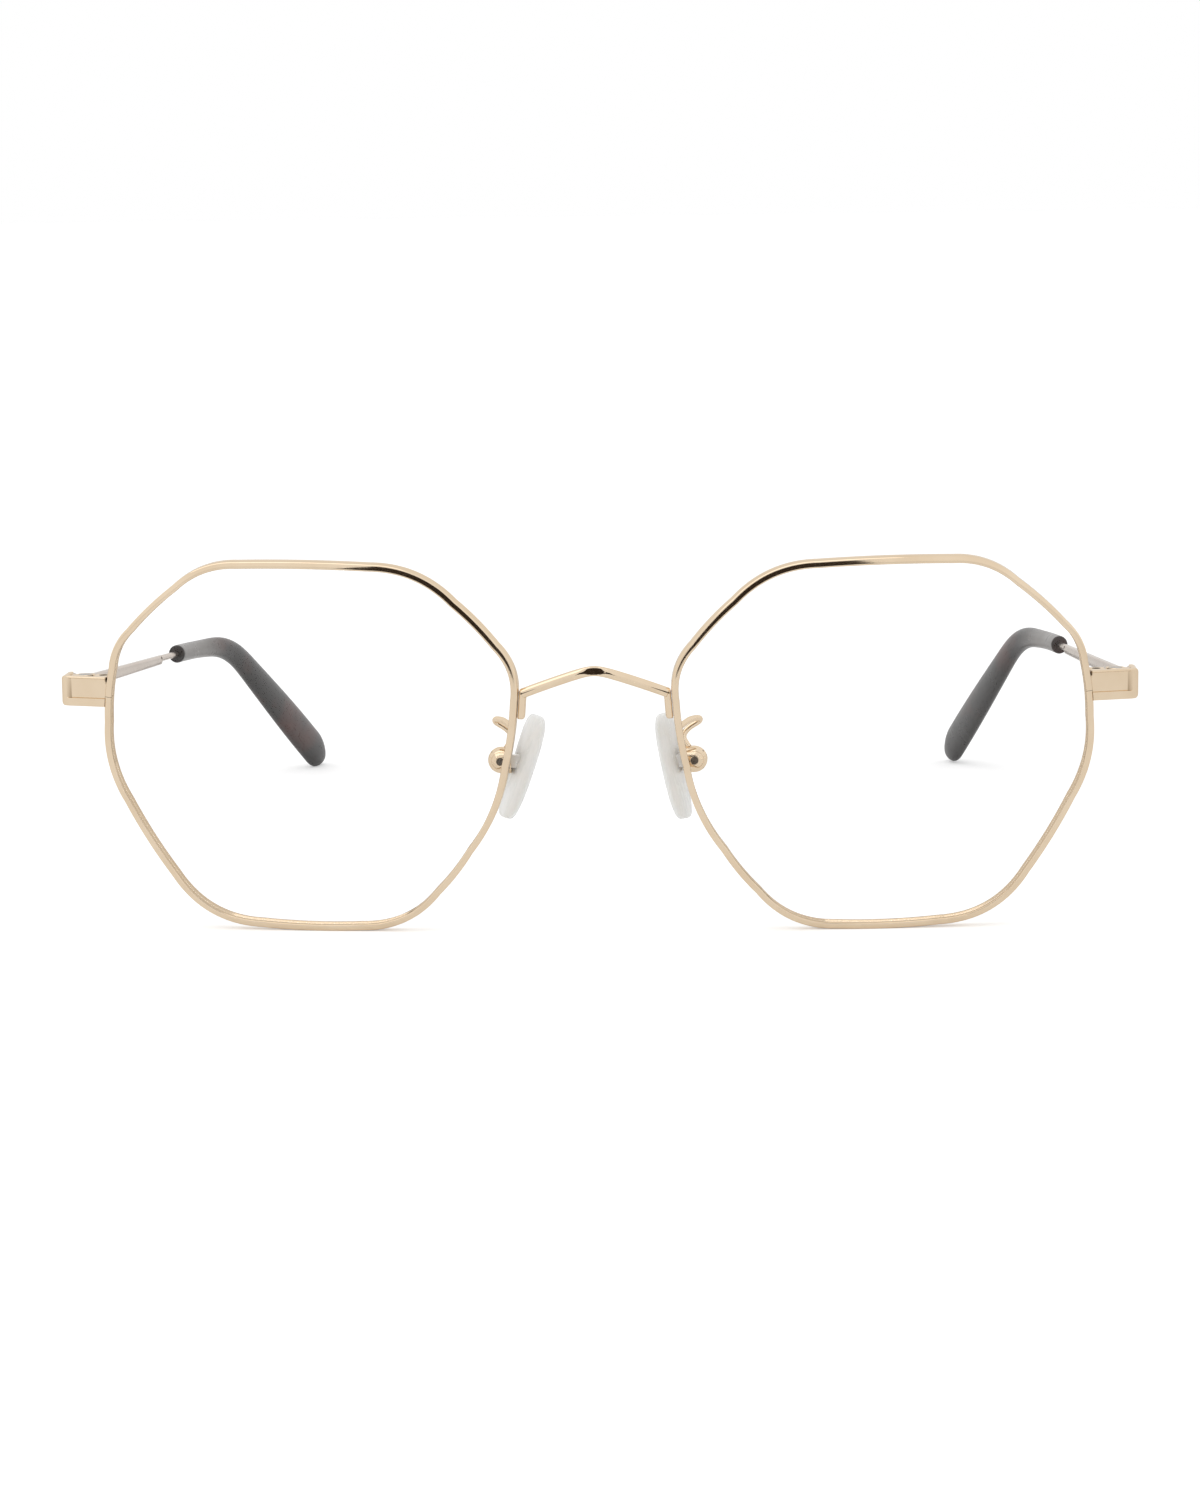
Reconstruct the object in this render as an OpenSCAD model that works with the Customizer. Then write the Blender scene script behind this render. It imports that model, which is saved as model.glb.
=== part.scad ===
// Metal eyeglasses with octagonal eyes, clear curved lenses, adjustable nose pads and folding temples.
// They stand open on a table, as when they are put down: on the low sides of both rims and on both tips.
// The floor is z = 0. The wearer looks towards -Y, so the wearer's right side lies at -X.
// Every piece of a pair is drawn at +X, and the one at -X is its mirror image.

/* [Eyes] */
// Width of one eye, between the middles of the rim wire
eye_w = 54.1; // [48:0.1:58]
// Height of one eye, between the middles of the rim wire
eye_h = 48.7; // [42:0.1:52]
// Gap between the two eyes, between the middles of the rim wires
nose_w = 21; // [18:0.1:25]
// Turn of each eye towards the cheek, seen from above, in degrees
face_turn = 4.5; // [0:0.5:8]
// Lean of the front, its top towards the brow's front, in degrees
front_lean = 5; // [2:0.5:9]
// Radius of the lens surface
lens_curve_r = 130; // [90:1:260]
// How far each side of an eye bows outwards
side_bow = 0.2; // [0:0.05:0.6]

/* [Rims] */
// Thickness of the rim wire, seen from the front
rim_wall = 0.9; // [0.8:0.05:1.6]
// Depth of the rim wire, front to back
rim_depth = 1.9; // [1.6:0.05:2.6]
// Depth of the groove that holds the lens
groove_depth = 0.4; // [0.25:0.05:0.6]
// Width of the groove at its mouth
groove_w = 0.9; // [0.6:0.05:1.2]
// Gap where the rim is split to take the lens
split_gap = 0.2; // [0.1:0.05:0.4]

/* [Lenses] */
// Thickness of a lens
lens_t = 1.5; // [1.2:0.1:2.4]
// Clearance between a lens and its groove
lens_gap = 0.05; // [0.03:0.01:0.1]

/* [Bridge] */
// Thickness of the bridge wire
bridge_d = 1.3; // [1:0.05:1.8]
// Slope of the bridge's two arms, as rise over run
bridge_slope = 0.375; // [0.2:0.01:0.6]
// Radius of the bridge's rounded peak
bridge_peak_r = 1.6; // [0.8:0.1:4]
// How far the peak stands forward of the bridge's ends
bridge_forward = 1; // [0:0.1:2.5]
// Height of the bridge's ends above the middle of the eyes
bridge_up = 6.9; // [4:0.1:8]
// Height of the foot at each end of the bridge
foot_h = 3.4; // [2:0.1:5]
// Thickness of that foot, seen from the front
foot_w = 0.95; // [0.5:0.05:1.2]
// Depth of that foot, front to back
foot_depth = 1.3; // [0.8:0.1:1.8]

/* [Endpieces] */
// Height of the endpieces' middle above the middle of the eyes
endpiece_up = 7.45; // [6:0.05:9]
// Width of a plaque, seen from the front
plaque_w = 6.25; // [5.5:0.05:8]
// Height of a plaque
plaque_h = 3.9; // [3.6:0.05:5]
// Thickness of a plaque
plaque_t = 1.15; // [1:0.05:1.5]
// Turn of a plaque towards the temple, seen from above, in degrees
plaque_turn = 17; // [8:1:22]
// Radius of a plaque's corners, seen from the front
plaque_corner_r = 0.55; // [0.2:0.05:1]
// Depth of the sunk panel in a plaque
panel_depth = 0.3; // [0.1:0.02:0.4]
// Border between the panel and a plaque's outer end
panel_end_border = 0.85; // [0.4:0.05:1.5]
// Border between the panel and a plaque's top edge
panel_top_border = 0.25; // [0.15:0.05:0.8]
// Border between the panel and a plaque's low edge
panel_low_border = 1.1; // [0.4:0.05:1.6]
// Thickness of the arm that runs back from a plaque
arm_t = 0.95; // [0.7:0.05:1.4]

/* [Closing blocks] */
// Width of a closing block, behind the plaque
block_w = 2.6; // [2.45:0.05:2.7]
// Depth of a closing block, front to back
block_depth = 3; // [2.4:0.1:3.2]
// How far the two closing blocks together stay short of the plaque's top and low edges
block_inset = 0.15; // [0.1:0.05:0.4]
// Diameter of the closing screw
closing_screw_d = 1.1; // [0.9:0.05:1.2]
// Diameter of the closing screw's head
closing_head_d = 1.5; // [1.4:0.05:1.6]

/* [Hinges] */
// Diameter of the hinge barrel
barrel_d = 2.5; // [2.3:0.05:2.9]
// Gap between the hinge barrel and the endpiece's arm
hinge_in = 0.6; // [0.1:0.05:0.9]
// Height of the middle knuckle
knuckle_h = 1.1; // [0.8:0.05:1.4]
// Height of the whole hinge
hinge_h = 3.5; // [3.2:0.05:3.8]
// Diameter of the hinge screw
hinge_screw_d = 1.2; // [1:0.05:1.4]
// Diameter of the hinge screw's head
hinge_head_d = 1.8; // [1.6:0.05:2]
// Radial clearance of the hinge screw in the middle knuckle
hinge_fit = 0.03; // [0.02:0.01:0.08]
// Thickness of the plate that joins the hinge's two outer knuckles
hinge_plate_t = 0.9; // [0.5:0.05:1.4]

/* [Temples] */
// Length of a temple, from the hinge axis along the wire to the end of the tip
temple_l = 145; // [135:1:150]
// Length from the hinge axis to the start of the ear bend
bend_at = 94; // [84:1:98]
// Length of the ear bend along the wire
bend_l = 14; // [8:1:26]
// Extra downward angle behind the bend, in degrees
bend_down = 28.5; // [20:0.5:40]
// Inward angle of the temple behind the bend, in degrees
bend_in = 15.5; // [8:0.5:22]
// Length over which the temple turns inwards, which starts in front of the ear bend
turn_in_l = 30; // [20:1:40]
// How far in front of the ear bend the temple starts to turn inwards
turn_in_lead = 20; // [5:1:24]
// Inward angle of the temple in front of the bend, in degrees
temple_toe = 2; // [-1:0.1:2.5]
// Height of the temple bar
bar_h = 1.8; // [1.4:0.1:2.4]
// Height of the temple bar at its step
bar_end_h = 1.2; // [1.05:0.05:1.4]
// Thickness of the temple bar
bar_t = 0.95; // [0.8:0.05:1.4]
// Length of the tall head behind the hinge
head_l = 7; // [4:0.5:12]
// Length from the hinge axis to the step where the bar's lower half ends
step_at = 62; // [50:1:66]
// Diameter of the core wire that the bar is drawn down to
core_d = 0.95; // [0.8:0.05:1.1]

/* [Temple tips] */
// Length from the hinge axis to the front end of the tip
tip_at = 70; // [66:1:78]
// Height of the tip at its front end
tip_h = 2.7; // [2.4:0.1:3.4]
// Thickness of the tip at its front end
tip_t = 2.5; // [2.2:0.1:3]
// Width of the tip's paddle
paddle_w = 6; // [4:0.1:8]
// Thickness of the tip's paddle
paddle_t = 2.7; // [2.2:0.1:3.4]
// Length of solid tip behind the end of the core wire
tip_cover = 6; // [4:0.5:12]
// Radial clearance of the core wire in the tip
core_fit = 0.03; // [0.02:0.01:0.08]

/* [Pad arms] */
// Thickness of the pad arm wire
pad_wire_d = 0.8; // [0.7:0.05:1.1]
// Height of the pad arm's root above the middle of the eyes
pad_root_up = 2.3; // [1:0.1:3.2]
// How far the pad arm's loop reaches towards the temple
loop_out = 2.7; // [2:0.1:3.6]
// How far the pad arm's loop reaches behind the rim
loop_back = 5.6; // [4.6:0.1:6.5]

/* [Pad boxes] */
// Distance of the pad screw behind the rim
box_back = 4.9; // [4.4:0.1:5.6]
// Distance of the pad screw below the pad arm's root
box_down = 4.8; // [4.4:0.1:5.4]
// Distance of the pad screw from the pad arm's root, towards the temple
box_out = 1.9; // [1.5:0.1:2.3]
// Diameter of the round pad box
box_d = 3.5; // [3.3:0.05:3.8]
// Length of the pad box, from its mouth to its domed end
box_l = 3.1; // [2.9:0.1:3.4]
// Width of the slot for the pad's lug
box_slot = 1.25; // [1:0.05:1.4]
// Diameter of the pad screw
pad_screw_d = 1; // [0.7:0.05:1.1]
// Radial clearance of the pad screw in the lug
pad_fit = 0.04; // [0.02:0.01:0.08]

/* [Nose pads] */
// Length of a nose pad
pad_l = 14.1; // [12:0.1:16]
// Width of a nose pad
pad_w = 7.5; // [6:0.1:9]
// Thickness of a nose pad
pad_t = 1.8; // [1.6:0.1:2.1]
// Bow of a nose pad towards the nose
pad_bow = 0.2; // [0:0.1:1.2]
// Frontal angle of a nose pad, in degrees
pad_tilt = 14; // [6:1:18]
// Splay angle of a nose pad, in degrees
pad_splay = 16; // [8:1:22]
// Lean of a nose pad, its top towards the face, in degrees
pad_lean = 7; // [0:1:10]
// Distance of the pad's middle from the pad screw, towards the nose
pad_in = 2.75; // [2.75:0.05:3.6]
// Distance of the pad's middle below the pad screw
pad_down = 0.9; // [0:0.1:2]

/* [Hidden] */
$fn = 48;

// Gap left where two pieces of the front are brazed together
braze = 0.03;
// Gap between flat faces that turn past each other
turn_gap = 0.05;
// Gap between the endpiece's arm and the temple's head, which meet as the stop of the open temple
stop_gap = 0.15;

gold = [0.87, 0.76, 0.62];
dark_tip = [0.27, 0.25, 0.24];
clear_lens = [0.85, 0.93, 0.96, 0.25];
clear_pad = [0.92, 0.94, 0.92, 0.7];
steel = [0.75, 0.75, 0.76];

// Corners of the eye, counted from the outer top one towards the nose. The first two numbers are shares of
// half the eye's width, towards the temple, and of half its height. The last is the length that the corner's
// rounding cuts off each side, as a share of half the eye's height.
corners = [[0.95, 0.55, 0.123], [0.506, 0.998, 0.197], [-0.548, 0.976, 0.263], [-1.012, 0.426, 0.172],
    [-0.905, -0.354, 0.263], [-0.448, -0.996, 0.263], [0.559, -0.97, 0.31], [1.019, -0.098, 0.234]];
corner_count = len(corners);
// Share of each side's parameter range that runs along the side, before its corner
side_share = 0.6;
// Stations along one side and its corner, as shares of that range
stations = [0, 0.2, 0.4, 0.6, 0.7, 0.8, 0.9];

// Vector helpers

function unit(a) = a / norm(a);
function mix(a, b, t) = a + (b - a) * t;
function smooth(t) = let (c = max(0, min(1, t))) c * c * (3 - 2 * c);

// Outline of one eye, in the eye's own plane: first the distance towards the temple, then the height

function corner_at(i) = let (c = corners[i % corner_count]) [c[0] * eye_w / 2, c[1] * eye_h / 2];
function cut_at(i) = corners[i % corner_count][2] * eye_h / 2;

// A side runs from corner i to the next one, less what the roundings take, and bows outwards in between
function side_at(i, t) =
    let (a = corner_at(i), b = corner_at(i + 1), e = unit(b - a), out = [e[1], -e[0]])
    mix(a + e * cut_at(i), b - e * cut_at(i + 1), t) + out * side_bow * pow(sin(180 * t), 2);

// A corner is a parabola from the end of one side to the start of the next
function corner_arc(i, t) =
    let (a = corner_at(i - 1 + corner_count), b = corner_at(i), c = corner_at(i + 1),
         p = b + unit(a - b) * cut_at(i), q = b + unit(c - b) * cut_at(i))
    p * pow(1 - t, 2) + b * 2 * t * (1 - t) + q * t * t;

function outline(q) =
    let (w = (q + corner_count) % corner_count, i = floor(w), f = w - i)
    f < side_share ? side_at(i, f / side_share)
                   : corner_arc(i + 1, (f - side_share) / (1 - side_share));

function outward(q) = let (e = unit(outline(q + 0.01) - outline(q - 0.01))) [e[1], -e[0]];

// The outer side, which the rim's split and the endpiece are on, and the nasal side, by height
function side_height(i, v) =
    let (lo = side_at(i, 0)[1], hi = side_at(i, 1)[1]) i + side_share * (v - lo) / (hi - lo);
outer_side = 7;
nasal_side = 3;
// How far the split lies below the endpiece's middle
split_drop = 0.8;
split_q = side_height(outer_side, endpiece_up - split_drop);

// Place of an eye. A point at distance u towards the temple, v up and d back lies on the lens's sphere.

across = [cos(face_turn), sin(face_turn), 0];
up_raw = [0, -sin(front_lean), cos(front_lean)];
up = unit(up_raw - across * (up_raw * across));
back = cross(up, across);
nasal_reach = -min([for (t = [0 : 0.05 : 1]) outline(nasal_side - 0.4 + t)[0]]);
eye_x = nose_w / 2 + nasal_reach * cos(face_turn);

function on_lens(u, v, d) =
    across * u + up * v + back * ((u * u + v * v) / (2 * lens_curve_r) + d);

rim_stations = [
    split_q + 0.02,
    for (i = [0 : corner_count - 1]) for (s = stations)
        let (q = outer_side + i + s) if (q > split_q + 0.05 && q < split_q + corner_count - 0.05) q,
    for (s = stations) let (q = outer_side + corner_count + s) if (q < split_q + corner_count - 0.05) q,
    split_q + corner_count - 0.02];

// Section of the rim wire: distance outwards from its middle, and distance back
rim_bevel = 0.22;
rim_section = let (a = rim_wall / 2, b = rim_depth / 2, c = rim_bevel, g = groove_w / 2)
    [[a, c - b], [a, b - c], [a - c, b], [c - a, b], [-a, b - c],
     [-a, g], [groove_depth - a, 0], [-a, -g], [-a, c - b], [c - a, -b], [a - c, -b]];

// Height of the eyes' middle above the floor, found by letting the rims down onto it
rim_low = min([for (q = rim_stations) for (s = rim_section)
    let (p = outline(q) + outward(q) * s[0]) on_lens(p[0], p[1], s[1])[2]]);
eye_z = -rim_low;

function eye_point(u, v, d) = [eye_x, 0, eye_z] + on_lens(u, v, d);
function rim_point(q, r, d) = let (p = outline(q) + outward(q) * r) eye_point(p[0], p[1], d);

// Endpiece and hinge, in plan. The plaque's front face starts at the rim's outer side.

endpiece_z = eye_z + endpiece_up;
endpiece_q = side_height(outer_side, endpiece_up);
plaque_root = rim_point(endpiece_q, rim_wall / 2, -rim_depth / 2);
plaque_x = plaque_root[0];
plaque_y = plaque_root[1];
arm_x = plaque_x + plaque_w;
arm_inner_x = arm_x - arm_t;
hinge_clear = 0.1;
hinge_x = arm_inner_x - hinge_in - barrel_d / 2;
// Back face of the plaque, where it meets the arm
plaque_back_y = plaque_y + (arm_inner_x - plaque_x) * tan(plaque_turn) + plaque_t / cos(plaque_turn);
hinge_y = plaque_back_y + braze + hinge_plate_t + hinge_clear + barrel_d / 2;
arm_end_y = hinge_y + barrel_d / 2 - stop_gap / 2;
head_y = arm_end_y + stop_gap;

// Temple: a wire whose direction is given by its slope down and its turn inwards along its length

core_up = bar_h / 2 - core_d / 2;
wire_start = [arm_x - bar_t / 2, head_y, endpiece_z + core_up];
wire_offset = head_y - hinge_y;
wire_step = 1;
wire_steps = ceil((temple_l - wire_offset) / wire_step);

function down_at(s, slope) = slope + bend_down * smooth((s - bend_at) / bend_l);
function in_at(s) = mix(temple_toe, bend_in, smooth((s - bend_at + turn_in_lead) / turn_in_l));
function heading(s, slope) =
    let (a = down_at(s, slope), b = in_at(s)) [-sin(b) * cos(a), cos(b) * cos(a), -sin(a)];

// Places along the wire at every step, each the last one moved on by its heading
function wire_places(slope, i = 0, p = wire_start, list = []) =
    i > wire_steps ? list
    : wire_places(slope, i + 1,
        p + heading(wire_offset + (i + 0.5) * wire_step, slope) * wire_step, concat(list, [p]));
function along(places, s) =
    let (k = max(0, (s - wire_offset) / wire_step), i = min(floor(k), wire_steps - 1))
    mix(places[i], places[i + 1], k - i);

// Tip: from a round front end to a flat paddle with a rounded end

tip_l = temple_l - tip_at;
tip_stations = [for (t = [0, 0.008, 0.05, 0.12, 0.2, 0.26, 0.31, 0.36, 0.41, 0.46, 0.52, 0.6, 0.68, 0.76,
    0.83, 0.89, 0.93, 0.96, 0.98, 0.992, 0.999]) tip_at + tip_l * t];
tip_round = 4.6;
// Number of sides of the tip, its bore and the core wire
wire_sides = 12;

function tip_end(s) = let (x = max(0, s - (temple_l - tip_round)) / tip_round) sqrt(max(0, 1 - x * x));
function tip_nose(s) = s < tip_at + 0.3 ? 0.9 : 1;
function tip_width(s) =
    mix(tip_h, paddle_w, smooth((s - bend_at) / (temple_l - tip_round - bend_at))) * tip_end(s) * tip_nose(s);
function tip_thick(s) =
    mix(tip_t, paddle_t, smooth((s - bend_at) / (temple_l - bend_at))) * sqrt(tip_end(s)) * tip_nose(s);

// Ring of points round the wire at length s: half sizes in height and thickness, and a shift upwards
function wire_ring(places, slope, s, profile) =
    let (p = along(places, s), f = heading(s, slope), side = unit(cross(f, [0, 0, 1])), top = cross(side, f))
    [for (c = profile) p + side * c[0] + top * c[1]];
function oval(w, h, n) = [for (i = [0 : n - 1]) [w * cos(360 * (i + 0.5) / n), h * sin(360 * (i + 0.5) / n)]];
function tip_ring(places, slope, s) =
    wire_ring(places, slope, s, oval(tip_thick(s) / 2, tip_width(s) / 2, wire_sides));

// Slope at which both tips just rest on the floor, found by letting them down a few times
function tip_low(slope) =
    let (places = wire_places(slope)) min([for (s = tip_stations) for (p = tip_ring(places, slope, s)) p[2]]);
function settle(slope, n) =
    n == 0 ? slope : settle(slope + atan(tip_low(slope) / (temple_l * 0.93)), n - 1);
temple_slope = settle(4, 4);
wire = wire_places(temple_slope);

// Pad arm, pad box and nose pad

pad_root_q = side_height(nasal_side, pad_root_up);
pad_root = rim_point(pad_root_q, -0.05, rim_depth / 2 + 2 * braze);
screw_at = pad_root + [box_out, box_back, -box_down];
box_mouth = 0.45 * box_l;
box_r = box_d / 2;
lug_r = box_r - 0.75;
pad_middle = screw_at + [-pad_in, 0, -pad_down];

// The part's origin lies under the middle of its box, so the places above move back by half its depth
bridge_end_x = rim_point(side_height(nasal_side, bridge_up), rim_wall / 2, 0)[0] - foot_w / 2;
bridge_end_y = rim_point(side_height(nasal_side, bridge_up), rim_wall / 2, 0)[1];
bridge_end_z = rim_point(side_height(nasal_side, bridge_up), rim_wall / 2, 0)[2];
function bridge_drop(x) = bridge_slope * (sqrt(x * x + pow(bridge_peak_r, 2)) - bridge_peak_r);
bridge_top = bridge_end_z + bridge_drop(bridge_end_x);
front_y = min(bridge_end_y - bridge_forward - bridge_d / 2,
    min([for (q = rim_stations) for (s = rim_section) rim_point(q, s[0], s[1])[1]]));
rear_y = max([for (s = tip_stations) for (p = tip_ring(wire, temple_slope, s)) p[1]]);
shift_y = -(front_y + rear_y) / 2;

// Skin over a row of rings that have the same number of points, which run counter-clockwise seen along
// the row. Both ends are closed flat.
module skin(rings) {
    m = len(rings[0]);
    n = len(rings);
    polyhedron([for (r = rings) each r], concat(
        [[for (j = [m - 1 : -1 : 0]) j]],
        [for (i = [0 : n - 2]) for (j = [0 : m - 1]) each side_faces(i * m + j, i * m + (j + 1) % m, m)],
        [[for (j = [0 : m - 1]) (n - 1) * m + j]]), convexity = 6);
}

// The same, with each end closed by a fan to a point
module fan_skin(first, rings, last) {
    m = len(rings[0]);
    n = len(rings);
    end = (n - 1) * m;
    polyhedron(concat([for (r = rings) each r], [first, last]), concat(
        [for (j = [0 : m - 1]) [n * m, (j + 1) % m, j]],
        [for (i = [0 : n - 2]) for (j = [0 : m - 1]) each side_faces(i * m + j, i * m + (j + 1) % m, m)],
        [for (j = [0 : m - 1]) [end + j, end + (j + 1) % m, n * m + 1]]), convexity = 4);
}

// The same as the first, with a blind bore that starts at the first ring and follows its own rings
module bored_skin(rings, bore) {
    m = len(rings[0]);
    n = len(rings);
    b = n * m;
    end = b + (len(bore) - 1) * m;
    polyhedron(concat([for (r = rings) each r], [for (r = bore) each r]), concat(
        [for (j = [0 : m - 1]) let (k = (j + 1) % m) each [[j, b + j, k], [k, b + j, b + k]]],
        [for (i = [0 : n - 2]) for (j = [0 : m - 1]) each side_faces(i * m + j, i * m + (j + 1) % m, m)],
        [for (i = [0 : len(bore) - 2]) for (j = [0 : m - 1]) each
            side_faces(b + i * m + (j + 1) % m, b + i * m + j, m)],
        [[for (j = [0 : m - 1]) b - m + j], [for (j = [m - 1 : -1 : 0]) end + j]]), convexity = 6);
}

// Two triangles between neighbours a and b in one ring and those above them in the next, m points on
function side_faces(a, b, m) = [[a, b, a + m], [b, b + m, a + m]];
function reversed(list) = [for (i = [len(list) - 1 : -1 : 0]) list[i]];

// Draws a piece of a pair: side 1 is the wearer's left at +X, side -1 the right
module place(side = 1) translate([0, shift_y, 0]) mirror([side < 0 ? 1 : 0, 0, 0]) children();

// Space that a rim takes along one side of the eye, used to fit what is brazed to it
module rim_space(i, v_low, v_high, r, d) {
    far = 3;
    steps = 8;
    skin([for (k = [0 : steps]) let (q = side_height(i, mix(v_low, v_high, k / steps)))
        [for (c = [[-far, -far], [-far, d], [r, d], [r, -far]]) rim_point(q, c[0], c[1])]]);
}

module rim(side) color(gold) place(side)
    skin([for (q = rim_stations) [for (s = reversed(rim_section)) rim_point(q, s[0], s[1])]]);

module lens(side) color(clear_lens) place(side) {
    loop = [for (i = [0 : corner_count - 1]) for (s = stations) i + s];
    edge = -rim_wall / 2 - lens_gap - 0.05;
    apex = groove_depth - rim_wall / 2 - lens_gap;
    half = lens_t / 2;
    bevel = groove_w / 2 - lens_gap;
    // Each loop is a share of the way from the lens's middle, a distance outwards and a distance back
    loops = [[0.35, edge, -half], [0.7, edge, -half], [1, edge, -half], [1, edge, -bevel], [1, apex, 0],
        [1, edge, bevel], [1, edge, half], [0.7, edge, half], [0.35, edge, half]];
    fan_skin(eye_point(0, 0, -half),
        [for (l = loops) [for (q = loop)
            let (p = (outline(q) + outward(q) * l[1]) * l[0]) eye_point(p[0], p[1], l[2])]],
        eye_point(0, 0, half));
}

// Path of the bridge: straight arms that meet in a rounded peak, arched forwards
function bridge_path(x) = [x,
    bridge_end_y - bridge_forward * pow(cos(90 * x / bridge_end_x), 2),
    bridge_top - bridge_drop(x)];

module bridge() color(gold) place() {
    steps = 24;
    skin([for (i = [-steps : 2 : steps])
        let (x = bridge_end_x * i / steps, f = unit(bridge_path(x + 0.01) - bridge_path(x - 0.01)),
             side = unit(cross(f, [0, 0, 1])), top = cross(side, f), p = bridge_path(x))
        [for (c = oval(bridge_d / 2, bridge_d / 2, 12)) p + side * c[0] + top * c[1]]]);
    for (s = [-1, 1]) mirror([s < 0 ? 1 : 0, 0, 0]) bridge_foot();
}

// Foot at the bridge's end: a small bar that lies along the rim's nasal side
module bridge_foot() {
    inner = rim_wall / 2 + braze;
    outer = inner + foot_w;
    front = -0.15;
    top = bridge_up + bridge_d / 4;
    skin([for (v = [top - foot_h : foot_h / 2 : top])
        let (q = side_height(nasal_side, v))
        [for (c = [[inner, front], [outer, front], [outer, front + foot_depth], [inner, front + foot_depth]])
            rim_point(q, c[0], c[1])]]);
}

// Half the height over which an endpiece and its blocks are fitted to the rim
rim_fit_reach = plaque_h / 2 + 0.5;

// Plan of an endpiece: plaque, rounded outer corner and the arm that runs back
module endpiece_plan() {
    rise = tan(plaque_turn);
    corner = 1.3;
    end_y = plaque_y + plaque_w * rise;
    polygon(concat(
        [[plaque_x - 1, plaque_y - rise]],
        [for (t = [0 : 0.2 : 1])
            let (a = [arm_x - corner, end_y - corner * rise], b = [arm_x, end_y], c = [arm_x, end_y + corner])
            a * pow(1 - t, 2) + b * 2 * t * (1 - t) + c * t * t],
        [[arm_x, arm_end_y], [arm_inner_x, arm_end_y],
         [arm_inner_x, end_y - arm_t * rise + plaque_t / cos(plaque_turn)],
         [plaque_x - 1, plaque_y - rise + plaque_t / cos(plaque_turn)]]));
}

// Front view of a plaque: square at the rim, rounded at the outer end
module plaque_face() {
    r = plaque_corner_r;
    translate([plaque_x - 2, -plaque_h / 2]) square([plaque_w + 2 - r, plaque_h]);
    translate([arm_x - r - 1, -plaque_h / 2 + r]) square([r + 1, plaque_h - 2 * r]);
    for (s = [-1, 1]) translate([arm_x - r, s * (plaque_h / 2 - r)]) circle(r);
}

module endpiece(side) color(gold) place(side) difference() {
    translate([0, 0, endpiece_z]) intersection() {
        translate([0, 0, -plaque_h]) linear_extrude(2 * plaque_h) endpiece_plan();
        translate([0, plaque_y, 0]) rotate([90, 0, 0])
            linear_extrude(2 * temple_l, center = true) plaque_face();
    }
    // Sunk panel
    translate([plaque_x, plaque_y, endpiece_z]) rotate([0, 0, plaque_turn])
        translate([-2, panel_depth - 2, panel_low_border - plaque_h / 2])
        cube([2 + plaque_w / cos(plaque_turn) - panel_end_border, 2,
            plaque_h - panel_low_border - panel_top_border]);
    rim_space(outer_side, endpiece_up - rim_fit_reach, endpiece_up + rim_fit_reach,
        rim_wall / 2 + braze, 2 * rim_depth);
}

// Closing blocks: the two ends of the split rim, drawn together by a screw from below

block_x = plaque_x - rim_wall + 0.2;
block_y = plaque_y + plaque_t / cos(plaque_turn) + (block_x + block_w - plaque_x) * tan(plaque_turn) + braze;
screw_wall = 0.3;
closing_x = block_x + block_w - closing_head_d / 2 - screw_wall;
closing_y = block_y + block_depth - closing_head_d / 2 - screw_wall;
closing_head_h = 0.5;
screw_hole_gap = 0.02;
split_z = rim_point(split_q, 0, 0)[2];
blocks_low = endpiece_z - plaque_h / 2 + block_inset;
blocks_top = endpiece_z + plaque_h / 2 - block_inset;
// Depth of the open hole above the end of the closing screw
screw_hole_open = 1;

module block_body(low, top) difference() {
    translate([block_x, block_y, low]) cube([block_w, block_depth, top - low]);
    rim_space(outer_side, endpiece_up - rim_fit_reach, endpiece_up + rim_fit_reach,
        rim_wall / 2 + braze, rim_depth / 2 + braze);
}

module closing_block_upper(side) color(gold) place(side) difference() {
    block_body(split_z + split_gap / 2, blocks_top);
    translate([closing_x, closing_y, split_z])
        cylinder(r = closing_screw_d / 2 + screw_hole_gap, h = plaque_h);
}

module closing_block_lower(side) color(gold) place(side) difference() {
    block_body(blocks_low, split_z - split_gap / 2);
    translate([closing_x, closing_y, blocks_low]) {
        cylinder(r = closing_screw_d / 2 + screw_hole_gap, h = plaque_h);
        translate([0, 0, -closing_head_h])
            cylinder(r = closing_head_d / 2 + screw_hole_gap, h = 2 * closing_head_h);
    }
}

module closing_screw(side) color(steel) place(side) translate([closing_x, closing_y, blocks_low])
    difference() {
        union() {
            cylinder(d = closing_head_d, h = closing_head_h - screw_hole_gap);
            cylinder(d = closing_screw_d, h = blocks_top - blocks_low - screw_hole_open);
        }
        screw_slot(closing_head_d);
    }

// Driver's slot across the lower face of a screw head
slot_w = 0.26;
slot_depth = 0.2;
module screw_slot(d) translate([-d, -slot_w / 2, -d]) cube([2 * d, slot_w, d + slot_depth]);

// Hinge: two knuckles brazed to the endpiece's arm, one to the temple's head, and a screw through all three

outer_knuckle_h = (hinge_h - knuckle_h) / 2 - turn_gap;
head_h = 0.5;
// Room that the temple's inner face needs beside the hinge, for its inward angle
temple_toe_room = 0.08;

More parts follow.
